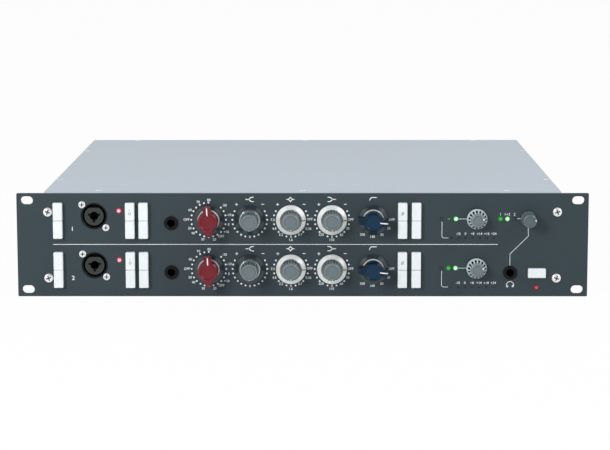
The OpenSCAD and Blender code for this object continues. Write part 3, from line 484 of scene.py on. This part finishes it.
# cuts: how far out their bottoms lie at the foot, how much nearer the middle per height, up to what
# height, and how dark the painted shade in them is
levelKnob = {"tone": (108, 122, 127), "foot": (196, 208, 210), "cuts": (7.85 * mm, 0.0, 5.5 * mm, 0.12)}
outputKnobs = {"level_knob_1": levelKnob, "level_knob_2": levelKnob,
               "volume_knob": {"tone": (88, 102, 106), "foot": (124, 137, 140),
                               "cuts": (6.22 * mm, 0.04, 15.6 * mm, 0.5)}}


def makeOutputKnob(name, look):
    # grey grip with a paler foot, painted shade in its pockets or flutes, a painted shade line round its
    # front disc and a painted highlight on the lip beyond
    knob = Finish(name + "Finish")
    grain = knob.noise(outputLook["grain"], 2.0)
    radius = knob.radius(*dialCentre(name))
    height = panelFace - knob.axis("Y")
    # painted shade in a line round the front disc, and a painted highlight on the lip beyond it
    edge = (radius.above(outputLook["line"]) * outputLook["lineShade"]
            + radius.above(outputLook["lip"]) * outputLook["lipShade"])
    tone = knob.mix(radius.step(*outputLook["foot"]), colour(*look["tone"]), colour(*look["foot"]))
    cloud = knob.noise(outputLook["cloud"], 2.0)
    base = knob.shade(tone, (0.93 + 0.06 * cloud + 0.04 * grain) * (1.0 + edge))
    # painted shade: the pockets or flutes are darkened below the given height
    reach, taper, under, cutShade = look["cuts"]
    low = (1.0 - (radius + height * taper).above(reach)) * (1.0 - height.above(under))
    base = knob.shade(base, 1.0 - low * (1.0 - cutShade))
    return knob.set(baseColor=base, roughness=rise(outputLook["roughness"], grain),
                    specularIORLevel=outputLook["shine"], normal=knob.bump(grain, outputLook["grainDepth"]))


for name, look in outputKnobs.items():
    wear(makeOutputKnob(name, look), name)
print("knobs done")


low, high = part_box("combo_sockets")
comboX = (low.x + high.x) / 2
# tones of shell and insert, insert where the insert's edge fades, mouth how deep behind the face the painted
# shade turns it black
sockets = {
    "comboSocket": {"places": [(comboX, dialCentre(f"mf_freq_ring_{c}")[1] + 3.1 * mm) for c in channels],
                    "insert": (8.15 * mm, 8.3 * mm),
                    "tones": ((20, 22, 23), (56, 60, 59)), "mouth": 0.6 * mm, "mouthShadeTone": (7, 8, 8),
                    "grain": 0.3 * mm, "detail": 2.0, "depth": 0.012 * mm, "spread": (0.9, 0.2),
                    "roughness": (0.36, 0.2), "shine": 0.15, "metallic": 0.0, "nodes": ["combo_sockets"]},
    "rearConnectors": {"places": [((x + shift) * mm, 0) for shift in (0, 148) for x in (-188, -156)],
                       "insert": (8.2 * mm, 8.4 * mm), "tones": ((176, 178, 180), (24, 25, 26)),
                       "grain": 0.5 * mm, "detail": 3.0, "depth": 0.008 * mm, "spread": (0.92, 0.1),
                       "roughness": (0.26, 0.16), "shine": 0.5, "metallic": 1.0,
                       "nodes": ["rear_inputs", "rear_outputs"]},
}


def makeSocketFinish(name, look):
    # a plastic or nickel shell, with an insert in each socket; the rear outputs keep bare pins
    finish = Finish(name)
    grain = finish.noise(look["grain"], look["detail"])
    shell = finish.nearest(look["places"]).step(*look["insert"])
    tone = finish.mix(1.0 - shell, *[colour(*tone) for tone in look["tones"]])
    if "mouth" in look:
        # painted shade: all that lies deeper than the mouth, in the insert's holes and round it, is painted
        # near-black
        deep = finish.axis("Y").above(panelFace + look["mouth"])
        tone = finish.mix(deep, tone, colour(*look["mouthShadeTone"]))
    return finish.set(baseColor=finish.shade(tone, rise(look["spread"], grain)),
                      metallic=shell * look["metallic"], roughness=rise(look["roughness"], grain),
                      specularIORLevel=look["shine"], normal=finish.bump(grain, look["depth"]))


boardLook = {"mask": (24, 82, 50), "track": (60, 120, 74), "scale": 120.0, "mortar": 0.012, "cloud": 8 * mm,
             "depth": 0.03 * mm}


def makeBoard():
    # green solder mask with a fine pattern of tracks
    board = Finish("boardGreen")
    tracks = board.node("ShaderNodeTexBrick", {"offset": 0.5},
                        {"Vector": board.place, "Scale": boardLook["scale"],
                         "Mortar Size": boardLook["mortar"]}, "Fac")
    cloud = board.noise(boardLook["cloud"], 2.0)
    tone = board.mix(tracks, colour(*boardLook["mask"]), colour(*boardLook["track"]))
    return board.set(baseColor=board.shade(tone, 0.9 + 0.2 * cloud), roughness=0.35 + 0.1 * cloud,
                     normal=board.bump(tracks, boardLook["depth"]))


windingLook = {"tone": (196, 160, 84), "scale": 90.0, "distortion": 2.0, "depth": 0.05 * mm}


def makeWinding():
    # varnished tape wound round the core
    tape = Finish("windingTape")
    wrap = tape.node("ShaderNodeTexWave", {"bands_direction": "DIAGONAL"},
                     {"Vector": tape.place, "Scale": windingLook["scale"],
                      "Distortion": windingLook["distortion"]}, "Fac")
    return tape.set(baseColor=tape.shade(colour(*windingLook["tone"]), 0.85 + 0.2 * wrap),
                    roughness=0.3 + 0.1 * wrap, normal=tape.bump(wrap, windingLook["depth"]))


for name, look in sockets.items():
    wear(makeSocketFinish(name, look), *look["nodes"])
wear(makeBoard(), "control_board", "channel_boards")
wear(makeWinding(), "power_supply")
print("sockets and inner parts done")


# colours at the rim and in the middle, where the middle ends as a share of the radius, and strength
lampTones = {"red": ((0.5, 0.005, 0.04, 1), (1.0, 0.72, 0.74, 1), 0.3, 1.1),
             "green": ((0.02, 0.4, 0.04, 1), (0.9, 1.0, 0.88, 1), 0.55, 1.2),
             "full": ((0.005, 0.18, 0.01, 1), (0.02, 0.46, 0.03, 1), 0.3, 1.0),
             "dim": ((0.01, 0.06, 0.02, 1), (0.05, 0.26, 0.07, 1), 0.3, 0.6),
             "power": ((0.16, 0.01, 0.02, 1), (0.66, 0.06, 0.08, 1), 0.3, 0.85)}


# the unlit lens, and the lit dome over it: how much wider and higher, its collar and its facets
lensLook = {"tone": (30, 38, 40), "cloud": 0.8 * mm, "coat": 0.3, "proud": 0.4 * mm, "collar": 0.3 * mm,
            "collarHeights": (0.12 * mm, 0.1 * mm), "turns": (0.3, 0.6, 0.9, 1.2, math.pi / 2), "sides": 28}


def makeLens():
    # nearly black while it is unlit
    lens = Finish("lampLens")
    cloud = lens.noise(lensLook["cloud"], 2.0)
    return lens.set(baseColor=lens.shade(colour(*lensLook["tone"]), 0.85 + 0.3 * cloud),
                    roughness=0.2 + 0.1 * cloud, coatWeight=lensLook["coat"])


wear(makeLens(), "led_lenses")


def makeGlow(name, kind, x, z, r):
    # brightest in the middle of the lens
    rim, core, middle, strength = lampTones[kind]
    glow = Finish(name)
    share = glow.radius(x, z).step(r * middle, r)
    tone = glow.mix(share, core, rim)
    return glow.set(baseColor=glow.shade(rim, 0.5 + 0.1 * glow.noise(0.5 * mm)), emissionColor=tone,
                    emissionStrength=strength, roughness=0.2)


def lathe(name, profile, centre, steps):
    # turns a profile of (radius, height above the panel's face) about an axis along Y
    mesh = bmesh.new()
    rings = []
    for radius, height in profile:
        y = panelFace - height
        if radius == 0:
            rings.append([mesh.verts.new((centre[0], y, centre[1]))])
            continue
        turns = [2 * math.pi * i / steps for i in range(steps)]
        rings.append([mesh.verts.new((centre[0] + radius * math.cos(t), y, centre[1] + radius * math.sin(t)))
                      for t in turns])
    for first, second in zip(rings, rings[1:]):
        for i in range(steps):
            a, b = first[i % len(first)], first[(i + 1) % len(first)]
            c, d = second[(i + 1) % len(second)], second[i % len(second)]
            mesh.faces.new([v for i, v in enumerate((a, b, c, d)) if v not in (a, b, c, d)[:i]])
    return toObject(name, mesh)


def toObject(name, mesh, smooth=True):
    bmesh.ops.recalc_face_normals(mesh, faces=mesh.faces)
    data = bpy.data.meshes.new(name)
    mesh.to_mesh(data)
    mesh.free()
    for face in data.polygons:
        face.use_smooth = smooth
    made = bpy.data.objects.new(name, data)
    bpy.context.scene.collection.objects.link(made)
    return made


def settle(piece, material, body):
    # gives a piece its material and its body
    piece.data.materials.clear()
    piece.data.materials.append(material)
    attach(piece, body)
    return piece


def makeLamp(name, x, z, size, kind):
    # a domed lit lens over the CAD lens, with a thin collar at its foot
    r, front = size
    wide = r + lensLook["proud"]
    outer = wide + lensLook["collar"]
    inward, outward = lensLook["collarHeights"]
    dome = [(0, front + wide)]
    dome += [(wide * math.sin(t), front + wide * math.cos(t)) for t in lensLook["turns"]]
    dome += [(wide, inward), (outer, outward), (outer, 0.0)]
    piece = lathe(name, dome[::-1], (x, z), lensLook["sides"])
    return settle(piece, makeGlow(name + "Glow", kind, x, z, wide), "case")


# radius of the CAD lens, and how far its dome starts from the panel
lampSizes = {"large": (1.5 * mm, 0.2 * mm), "small": (1.3 * mm, 0)}
lampRow = {"select": 117.5 * mm, "selectPitch": 6.05 * mm, "phones": 167.1 * mm, "phonesPitch": 5.9 * mm,
           "phantom": (-154.9 * mm, 7.75 * mm), "power": (198.3 * mm, -15.7 * mm), "lift": 0.8 * mm}


def makeLamps():
    top, low = [dialCentre(f"mf_freq_ring_{c}")[1] for c in channels]
    phantomX, phantomLift = lampRow["phantom"]
    powerX, powerLift = lampRow["power"]
    for channel, z, first in ((1, top, "dim"), (2, low, "full")):
        makeLamp(f"phantomLamp_{channel}", phantomX, z + phantomLift, lampSizes["large"], "red")
        for i, kind in enumerate((first, "green")):
            makeLamp(f"selectLamp_{channel}{i}", lampRow["select"] + (i + 1) * lampRow["selectPitch"],
                     z + lampRow["lift"], lampSizes["small"], kind)
    for i, kind in enumerate(("full", "green")):
        makeLamp(f"phonesLamp_{i}", lampRow["phones"] + i * lampRow["phonesPitch"], top + lampRow["lift"],
                 lampSizes["small"], kind)
    makeLamp("powerLamp", powerX, low + powerLift, lampSizes["large"], "power")


makeLamps()
print("lamps lit")


# from is where marks start towards their carrier, well before the longest knob
inkLook = {"grain": 0.3 * mm, "grainDepth": 0.01 * mm, "roughness": (0.5, 0.1), "thick": 0.05 * mm,
           "lift": 0.03 * mm, "from": -0.1}


def makeInk(name, *tone):
    ink = Finish(name)
    grain = ink.noise(inkLook["grain"], 2.0)
    return ink.set(baseColor=ink.shade(colour(*tone), 0.9 + 0.14 * grain),
                   roughness=rise(inkLook["roughness"], grain), normal=ink.bump(grain, inkLook["grainDepth"]))


whiteInk = makeInk("printedWhite", 236, 242, 243)
blackInk = makeInk("filledBlack", 18, 20, 21)
greyInk = makeInk("printedGrey", 150, 154, 156)
# a digit's height as a share of its font's size, and smoothness of its curves
letterLook = {"share": 0.7, "smoothness": 3}


class Artwork:
    # flat marks drawn in millimetres about a centre on the panel, then laid on what carries them
    def __init__(self, x=0.0, z=0.0):
        self.mesh = bmesh.new()
        self.x = x
        self.z = z

    def point(self, x, z):
        return self.mesh.verts.new((self.x + x * mm, panelFace, self.z + z * mm))

    def dot(self, x, z, r, sides=20):
        turns = [2 * math.pi * i / sides for i in range(sides)]
        self.mesh.faces.new([self.point(x + r * math.cos(t), z + r * math.sin(t)) for t in turns])

    def stroke(self, path, width, closed=False):
        # a line of even width, mitred at its corners and rounded at its ends
        points = [Vector(p) for p in path]
        count = len(points)
        sides = []
        for i, p in enumerate(points):
            before = points[i - 1] if i or closed else p
            after = points[(i + 1) % count] if i < count - 1 or closed else p
            ways = [w.normalized() for w in (p - before, after - p) if w.length > 1e-9]
            way = sum(ways, Vector((0, 0))).normalized()
            side = Vector((-way.y, way.x)) * width / 2 / max(0.4, way.dot(ways[0]))
            sides.append((self.point(*(p + side)), self.point(*(p - side))))
        pairs = list(zip(sides, sides[1:])) + ([(sides[-1], sides[0])] if closed else [])
        for (a, b), (c, d) in pairs:
            self.mesh.faces.new((a, b, d, c))
        if not closed:
            for end in (points[0], points[-1]):
                self.dot(end.x, end.y, width / 2, 12)

    def arc(self, x, z, r, start, end, width, steps=20):
        turns = [math.radians(start + (end - start) * i / steps) for i in range(steps + 1)]
        self.stroke([(x + r * math.cos(t), z + r * math.sin(t)) for t in turns], width)

    def words(self, text, x, z, height, bold=0.0):
        # digits and signs from Blender's own font, centred on the point
        data = bpy.data.curves.new("lettering", "FONT")
        data.body = text
        data.size = height / letterLook["share"]
        data.align_x = "CENTER"
        data.align_y = "CENTER"
        data.offset = bold
        data.resolution_u = letterLook["smoothness"]
        holder = bpy.data.objects.new("lettering", data)
        shapes = bpy.data.meshes.new_from_object(holder)
        xs = [v.co.x for v in shapes.vertices]
        ys = [v.co.y for v in shapes.vertices]
        shiftX, shiftY = (min(xs) + max(xs)) / 2, (min(ys) + max(ys)) / 2
        made = [self.point(x + v.co.x - shiftX, z + v.co.y - shiftY) for v in shapes.vertices]
        for face in shapes.polygons:
            self.mesh.faces.new([made[i] for i in face.vertices])
        bpy.data.objects.remove(holder)
        bpy.data.curves.remove(data)
        bpy.data.meshes.remove(shapes)

    def lay(self, name, tree, material, body, slot, longest=None):
        # drops the marks on the carrier's front, with a little thickness; longest is for a curved one
        if longest:
            long = [e for e in self.mesh.edges if e.calc_length() > longest]
            while long:
                bmesh.ops.subdivide_edges(self.mesh, edges=long, cuts=1, use_grid_fill=True)
                long = [e for e in self.mesh.edges if e.calc_length() > longest]
            bmesh.ops.triangulate(self.mesh, faces=self.mesh.faces)
        for v in self.mesh.verts:
            hit = tree.ray_cast(Vector((v.co.x, inkLook["from"], v.co.z)), Vector((0, 1, 0)))[0]
            v.co.y = (hit.y if hit else panelFace) - inkLook["lift"]
        bmesh.ops.recalc_face_normals(self.mesh, faces=self.mesh.faces)
        flat = list(self.mesh.faces)
        grown = bmesh.ops.extrude_face_region(self.mesh, geom=flat)
        fresh = [g for g in grown["geom"] if isinstance(g, bmesh.types.BMVert)]
        bmesh.ops.translate(self.mesh, vec=(0, -inkLook["thick"], 0), verts=fresh)
        return settle(toObject(name, self.mesh, smooth=False), material, body)


dotRing = {"radius": 14.7, "size": 0.75, "text": 2.05, "bold": 0.03}
# the plus and the minus over a dial
dialSigns = {"plus": (-11.1, 13.1), "minus": (11.1, 13.2), "reach": 1.0, "width": 0.6}
# dots are turns in degrees, counter-clockwise from the right; numbers have a text and its place
dialArt = {
    "gain_knob": {"dots": [45 - 15 * i for i in range(22)],
                  "numbers": [("80", 0.3, 16.9), ("70", -8.7, 15.2), ("60", -15.6, 8.4),
                              ("OFF", -18.6, 0.2), ("50", -15.9, -7.2), ("40", -13.2, -11.4),
                              ("30", -5.0, -16.7), ("20", 4.9, -16.7), ("OFF", 10.6, -14.1),
                              ("+10", 15.0, -10.3), ("0", 16.9, -4.1), ("-10", 17.4, 4.3),
                              ("-20", 13.4, 12.4)]},
    "hf_gain_knob": {"dots": [30 - 15 * i for i in range(8)] + [-105 - 15 * i for i in range(8)],
                     "numbers": [("0", 0, -14.6)]},
    "mf_freq_ring": {"dots": [30, 15, -15, -45, -75, -105, -135, 195, 165, 150],
                     "numbers": [("OFF", 15.9, 0.5), ("0.36", 14.8, -7.5), ("0.7", 7.8, -12.7),
                                 ("0", 0, -14.4), ("1.6", 0, -17.1), ("3.2", -8.4, -12.7),
                                 ("4.8", -14.1, -7.5), ("7.2", -15.4, 0)]},
    "lf_freq_ring": {"dots": [30, 15, -15, -45, -75, -105, -135, -150, 195, 180, 165, 150],
                     "numbers": [("OFF", 15.7, 0.2), ("35", 13.4, -7.4), ("60", 8.0, -12.7),
                                 ("0", 0, -14.4), ("110", -0.1, -17.0), ("220", -9.1, -12.6)]},
    "filter_knob": {"dots": [], "numbers": [("OFF", 15.7, 0.2), ("50", 13.2, -7.2), ("80", 7.5, -12.7),
                                            ("160", -0.4, -14.4), ("300", -9.0, -12.6)]},
}


def polar(r, turn):
    return r * math.cos(math.radians(turn)), r * math.sin(math.radians(turn))


def drawDial(dial, channel):
    art = Artwork(*dialCentre(f"{dial}_{channel}"))
    look = dialArt[dial]
    for turn in look["dots"]:
        art.dot(*polar(dotRing["radius"], turn), dotRing["size"])
    for text, x, z in look["numbers"]:
        art.words(text, x, z, dotRing["text"], dotRing["bold"])
    if dial in ("hf_gain_knob", "mf_freq_ring", "lf_freq_ring"):
        reach, width = dialSigns["reach"], dialSigns["width"]
        for x, z in (dialSigns["plus"], dialSigns["minus"]):
            art.stroke([(x - reach, z), (x + reach, z)], width)
        x, z = dialSigns["plus"]
        art.stroke([(x, z - reach), (x, z + reach)], width)
    return art.lay(f"dialPrint_{dial}_{channel}", panelTree, whiteInk, "case", "panel")


for channel in channels:
    for dial in dialArt:
        drawDial(dial, channel)
print("dial scales printed")


signLook = {"line": 0.75, "divider": 0.48, "level": 0.38, "volume": 0.4}
channelStep = dialCentre("mf_freq_ring_1")[1] - dialCentre("mf_freq_ring_2")[1]


def artAt(pointName, down=0.0):
    # marks centred on an image point, or as far below it as the second channel lies
    place = placeAt(imagePoints[pointName], panelTree)
    return Artwork(place.x, place.z - down)


def shelfPaths(way):
    # a stem that forks in two, to the right for 1 and to the left for -1
    fork = [(-0.7, 0), (0.3, 0.9), (1.0, 1.6), (1.8, 1.8), (3.3, 1.9)]
    return ([[(-3.3 * way, 0), (-0.7 * way, 0)]]
            + [[(x * way, z * side) for x, z in fork] for side in (-1, 1)])


signMarks = {
    "highShelfSign": shelfPaths(1),
    "bellSign": [[(-3.2, 0), (-1.5, 0.2), (0, 1.8), (1.5, 0.2), (3.2, 0), (1.5, -0.2), (0, -1.8),
                  (-1.5, -0.2)]],
    "lowShelfSign": shelfPaths(-1),
    "highPassSign": [[(-2.9, -1.3), (-2.5, -0.4), (-1.6, 0.9), (-1.1, 1.1), (3.1, 1.1)]],
}
prints = {}
for sign, paths in signMarks.items():
    for channel in channels:
        art = artAt(sign, channelStep * (channel - 1))
        for path in paths:
            art.stroke(path, signLook["line"], closed=sign == "bellSign")
        prints[f"{sign}_{channel}"] = art.lay(f"{sign}_{channel}", panelTree, whiteInk, "case", "panel")


def drawDivider():
    left = placeAt(imagePoints["dividerLeft"], panelTree)
    right = placeAt(imagePoints["dividerRight"], panelTree)
    art = Artwork(0, (left.z + right.z) / 2)
    inset = signLook["divider"] / 2
    art.stroke([(left.x / mm + inset, 0), (right.x / mm - inset, 0)], signLook["divider"])
    return art.lay("dividerLine", panelTree, whiteInk, "case", "panel")


digitLook = {"height": 3.6, "bold": 0.06}


def drawDigit(pointName, text):
    art = artAt(pointName)
    art.words(text, 0, 0, digitLook["height"], digitLook["bold"])
    return art.lay(pointName, panelTree, whiteInk, "case", "panel")


levelArt = {"rise": 13.8, "foot": 5.3, "bend": 1.8, "toKnob": (14.0, 21.2), "line": 16.2, "numbers": 3.6,
            "height": 2.05, "bold": 0.02, "marks": ["-10", "0", "+8", "+14", "+18", "+24"],
            "firstMark": 13.8, "markPitch": 6.0}


def drawLevel(channel):
    # the line from the meter-select lamps down to the meter, and the one to the knob
    art = artAt("levelCorner", channelStep * (channel - 1))
    bend = levelArt["bend"]
    arc = [(bend - bend * math.cos(math.radians(t)), bend - bend * math.sin(math.radians(t)))
           for t in range(0, 91, 15)]
    art.stroke([(0, levelArt["rise"])] + arc + [(levelArt["foot"], 0)], signLook["level"])
    art.stroke([(x, levelArt["line"]) for x in levelArt["toKnob"]], signLook["level"])
    for i, text in enumerate(levelArt["marks"]):
        art.words(text, levelArt["firstMark"] + i * levelArt["markPitch"], levelArt["numbers"],
                  levelArt["height"], levelArt["bold"])
    art.lay(f"levelLines_{channel}", panelTree, whiteInk, "case", "panel")


# start and end are heights over the knob's middle and over the foot of the jacks
volumeArt = {"start": -7.0, "end": 13.6, "dash": (181.2, 184.2), "numbers": 3.6, "height": 2.3}


def drawVolume():
    # from the volume knob down to the headphone socket, and from its lamps to the knob
    knobX, knobZ = [v / mm for v in dialCentre("volume_knob")]
    bends = [placeAt(imagePoints[name], panelTree) / mm for name in ("volumeBend", "phonesBend")]
    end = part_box("jack_sockets")[0].z / mm + volumeArt["end"]
    art = Artwork()
    art.stroke([(knobX, knobZ + volumeArt["start"])] + [(b.x, b.z) for b in bends] + [(bends[1].x, end)],
               signLook["volume"])
    art.stroke([(x, knobZ) for x in volumeArt["dash"]], signLook["volume"])
    for i, text in enumerate(("1", "1+2", "2")):
        art.words(text, (lampRow["phones"] + i * lampRow["phonesPitch"]) / mm, knobZ + volumeArt["numbers"],
                  volumeArt["height"])
    art.lay("volumeLines", panelTree, whiteInk, "case", "panel")


# the band's middle, radius, turns and width, and the ends and width of the right-hand pad
phonesArt = {"band": (-0.7, 3.1, -30, 210, 0.5), "pad": ((2.0, -1.9), (2.4, -1.0)), "padWidth": 1.2}


def drawPhones():
    # a headband with its two ear pads
    art = artAt("phonesSign")
    art.arc(0, *phonesArt["band"])
    for side in (-1, 1):
        art.stroke([(side * x, z) for x, z in phonesArt["pad"]], phonesArt["padWidth"])
    return art.lay("phonesSign", panelTree, whiteInk, "case", "panel")


prints["divider"] = drawDivider()
for pointName, text in (("digitOne", "1"), ("digitTwo", "2")):
    prints[pointName] = drawDigit(pointName, text)
for channel in channels:
    drawLevel(channel)
drawVolume()
prints["phones"] = drawPhones()
print("panel lines and signs printed")


# turns of the pointers and dots, in degrees, and how far out the ticks stand
knobMarks = {"pointer": {"gain_knob_1": 94, "gain_knob_2": 92, "filter_knob_1": -5, "filter_knob_2": -5},
             "tick": {"hf_gain_knob": 7.2, "mf_gain_knob": 7.3, "lf_gain_knob": 7.3},
             "dot": {"level_knob_1": 12, "level_knob_2": 16, "volume_knob": 6}}
# reach is from the knob's middle, or for a tick from where it stands; a longer edge is cut in two
pointerArt = {"reach": (5.9, 12.0), "width": 0.95, "longest": 1.05 * mm}
ringArt = {"reach": (9.6, 12.3), "turn": -1, "width": 0.7, "longest": 0.75 * mm}
tickArt = {"reach": (-0.75, 0.6), "width": 0.75, "longest": 0.6 * mm}
dotArt = {"radius": 5.0, "size": 0.75, "longest": 0.6 * mm}


def markLine(name, turn, look, ink, slot):
    # a line on the pointer's top, which runs on down its end, or across a ring
    art = Artwork(*dialCentre(name))
    art.stroke([polar(r, turn) for r in look["reach"]], look["width"])
    art.lay(f"{name}_line", treeOf(name), ink, name, slot, look["longest"])


def markTick(name, r):
    art = Artwork(*dialCentre(name))
    art.stroke([(0, -r - way) for way in tickArt["reach"]], tickArt["width"])
    art.lay(f"{name}_tick", treeOf(name), whiteInk, name, "lens", tickArt["longest"])


def markDot(name, turn):
    art = Artwork(*dialCentre(name))
    art.dot(*polar(dotArt["radius"], turn), dotArt["size"])
    art.lay(f"{name}_dot", treeOf(name), whiteInk, name, "lens", dotArt["longest"])


capSign = {"down": -1.4, "radius": 1.0, "width": 0.42, "slash": (1.05, 1.5), "dot": (-0.2, 1.6)}


def markCap(name, slashed):
    # a small round sign, with a slash through it or a dot over it
    art = Artwork(*dialCentre(name))
    down, width = capSign["down"], capSign["width"]
    art.arc(0, down, capSign["radius"], 0, 360, width)
    if slashed:
        x, z = capSign["slash"]
        art.stroke([(-x, down - z), (x, down + z)], width)
    else:
        art.dot(*capSign["dot"], width)
    art.lay(f"{name}_sign", treeOf(name), greyInk, name, "cap")


for name, turn in knobMarks["pointer"].items():
    markLine(name, turn, pointerArt, whiteInk, "lens")
for channel in channels:
    markCap(f"button_{channel}b_top", False)
    markCap(f"button_{channel}d_top", True)
    for dial, r in knobMarks["tick"].items():
        markTick(f"{dial}_{channel}", r)
    for band in ("mf", "lf"):
        markLine(f"{band}_freq_ring_{channel}", ringArt["turn"], ringArt, blackInk, "ring")
for name, turn in knobMarks["dot"].items():
    markDot(name, turn)
print("knobs marked")


# glow is the share of plain white in the floor as the eye sees it, world the light on all else
studio = {"floorSize": 24.0, "floorTone": (250, 250, 250), "floorCloud": 0.4, "glow": 0.95, "world": 0.5,
          "felt": (30, 30, 31), "feltCloud": 0.2, "roughness": 0.9}
lamps = {
    "leftBox": {"place": (-1.2, -1.7, 0.9), "size": (0.7, 0.7), "watts": 26},
    "rightBox": {"place": (1.9, -0.7, 1.6), "size": (0.6, 0.6), "watts": 17},
}
cards = {
    "frontCard": {"place": (0, -2.9, 1.5), "turn": (90, 0, 0), "size": (5.0, 3.0)},
    "topCard": {"place": (0, -0.6, 2.8), "turn": (0, 0, 0), "size": (3.4, 4.2)},
}


def onlySeenBy(made, *kinds):
    # keeps an object of the studio out of every other kind of ray
    for kind in ("camera", "diffuse", "glossy", "transmission", "volume_scatter", "shadow"):
        setattr(made, "visible_" + kind, kind in kinds)


def makeSheet(name, size, height=0.0):
    mesh = bmesh.new()
    corners = [mesh.verts.new((x * size[0] / 2, y * size[1] / 2, height))
               for x, y in ((-1, -1), (1, -1), (1, 1), (-1, 1))]
    mesh.faces.new(corners)
    return toObject(name, mesh, smooth=False)


def makeFloor():
    floor = makeSheet("studioFloor", (studio["floorSize"], studio["floorSize"]), cadLow.z)
    look = Finish("studioFloorPaint")
    cloud = look.noise(studio["floorCloud"])
    look.set(baseColor=look.shade(colour(*studio["floorTone"]), 0.98 + 0.02 * cloud),
             roughness=studio["roughness"], specularIORLevel=0.0)
    white = look.node("ShaderNodeEmission", {}, {"Color": (1, 1, 1, 1), "Strength": 1.0})
    lit = Wire(look, look.shader.outputs[0])
    mixed = look.node("ShaderNodeMixShader", {},
                      {0: look.seenDirectly() * studio["glow"], 1: lit, 2: white})
    look.tree.links.new(mixed.socket, look.tree.nodes["Material Output"].inputs["Surface"])
    floor.data.materials.append(look.material)
    floor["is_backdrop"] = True


def makeCard(name, look):
    # a black card over or before the object, which only reflections show
    card = makeSheet(name, look["size"])
    card.location = look["place"]
    card.rotation_euler = [math.radians(t) for t in look["turn"]]
    felt = Finish(name + "Felt")
    tone = felt.shade(colour(*studio["felt"]), 0.9 + 0.2 * felt.noise(studio["feltCloud"]))
    card.data.materials.append(felt.set(baseColor=tone, roughness=studio["roughness"], specularIORLevel=0.0))
    onlySeenBy(card, "glossy")
    card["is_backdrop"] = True


def makeWorld():
    # white where a ray of the eye, a reflection or glass meets it, and a plain level of light elsewhere
    world = bpy.data.worlds.new("studioWorld")
    world.use_nodes = True
    bpy.context.scene.world = world
    sky = Graph(world.node_tree)
    background = sky.tree.nodes["Background"]
    background.inputs["Color"].default_value = (1, 1, 1, 1)
    strength = sky.node("ShaderNodeMapRange", {},
                        {"Value": sky.seenDirectly(), "To Min": studio["world"], "To Max": 1.0})
    sky.tree.links.new(strength.socket, background.inputs["Strength"])


def makeLight(name, look):
    # a softbox aimed at the middle of the row frame
    data = bpy.data.lights.new(name, "AREA")
    data.shape = "RECTANGLE"
    data.size, data.size_y = look["size"]
    data.energy = look["watts"]
    made = bpy.data.objects.new(name, data)
    bpy.context.scene.collection.objects.link(made)
    made.location = look["place"]
    made.rotation_euler = (-Vector(look["place"])).to_track_quat("-Z", "Y").to_euler()
    made.visible_camera = False


makeFloor()
makeWorld()
for name, look in lamps.items():
    makeLight(name, look)
for name, look in cards.items():
    makeCard(name, look)
bpy.context.scene.view_settings.view_transform = "Standard"
print("studio lit")


# tried is how many of the outermost vertices are tested, gap what a ray to one stops short by,
# around and deep the half sizes and the depth of the box about a rack slot
search = {"tried": 4000, "gap": 0.4 * mm, "around": (6 * mm, 4.5 * mm), "deep": 0.1 * mm}


def seenVertices():
    # every finished vertex of the object with its pixel, and one BVH tree of all their faces
    graph = bpy.context.evaluated_depsgraph_get()
    vertices, faces = [], []
    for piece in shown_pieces():
        made = piece.evaluated_get(graph)
        data = made.to_mesh()
        start = len(vertices)
        vertices += [made.matrix_world @ v.co for v in data.vertices]
        faces += [[start + i for i in f.vertices] for f in data.polygons]
        made.to_mesh_clear()
    return [(pixelOf(v), v) for v in vertices], BVHTree.FromPolygons(vertices, faces)


def outermost(found, tree, axis, sign):
    # along one axis of the photograph, the pixel of the furthest vertex that nothing hides
    eye = camera.matrix_world.translation
    for pixel, v in sorted(found, key=lambda f: sign * f[0][axis])[:search["tried"]]:
        way = v - eye
        hit = tree.ray_cast(eye, way.normalized(), way.length - search["gap"])[0]
        if hit is None:
            return pixel[axis]
    return None


def middlePixel(points):
    xs, ys = zip(*[pixelOf(p) for p in points])
    return (min(xs) + max(xs)) / 2, (min(ys) + max(ys)) / 2


def middleOf(piece):
    return middlePixel([piece.matrix_world @ v.co for v in piece.data.vertices])


def slotMiddle(x, z):
    wide, high = search["around"]
    return middlePixel([v.co for v in nodes["front_panel"].data.vertices
                        if abs(v.co.x - x) < wide and abs(v.co.z - z) < high
                        and v.co.y < panelFace + search["deep"]])


def writePoints():
    found, tree = seenVertices()
    slots = frame["record"]["mounts"][0]["dims"]
    halfX, halfZ = slots["spacing_x_mm"] * mm / 2, slots["spacing_y_mm"] * mm / 2
    shown = {
        "leftEdge": (outermost(found, tree, 0, 1), None),
        "rightEdge": (outermost(found, tree, 0, -1), None),
        "coverTop": (None, outermost(found, tree, 1, 1)),
        "panelFoot": (None, outermost(found, tree, 1, -1)),
        "slotUpperLeft": slotMiddle(-halfX, halfZ),
        "slotLowerLeft": slotMiddle(-halfX, -halfZ),
        "slotUpperRight": slotMiddle(halfX, halfZ),
        "slotLowerRight": slotMiddle(halfX, -halfZ),
        "digitOne": middleOf(prints["digitOne"]),
        "digitTwo": middleOf(prints["digitTwo"]),
        "phonesSign": middleOf(prints["phones"]),
    }
    for sign in signMarks:
        shown[sign] = middleOf(prints[f"{sign}_1"])
    ends = [pixelOf(v.co) for v in prints["divider"].data.vertices]
    shown["dividerLeft"] = (min(e[0] for e in ends), middleOf(prints["divider"])[1])
    shown["dividerRight"] = (max(e[0] for e in ends), middleOf(prints["divider"])[1])
    for name, (x, y) in shown.items():
        px, py = imagePoints[name]
        None if x is None or px is None else round(x - px, 2)
        None if y is None or py is None else round(y - py, 2)


writePoints()
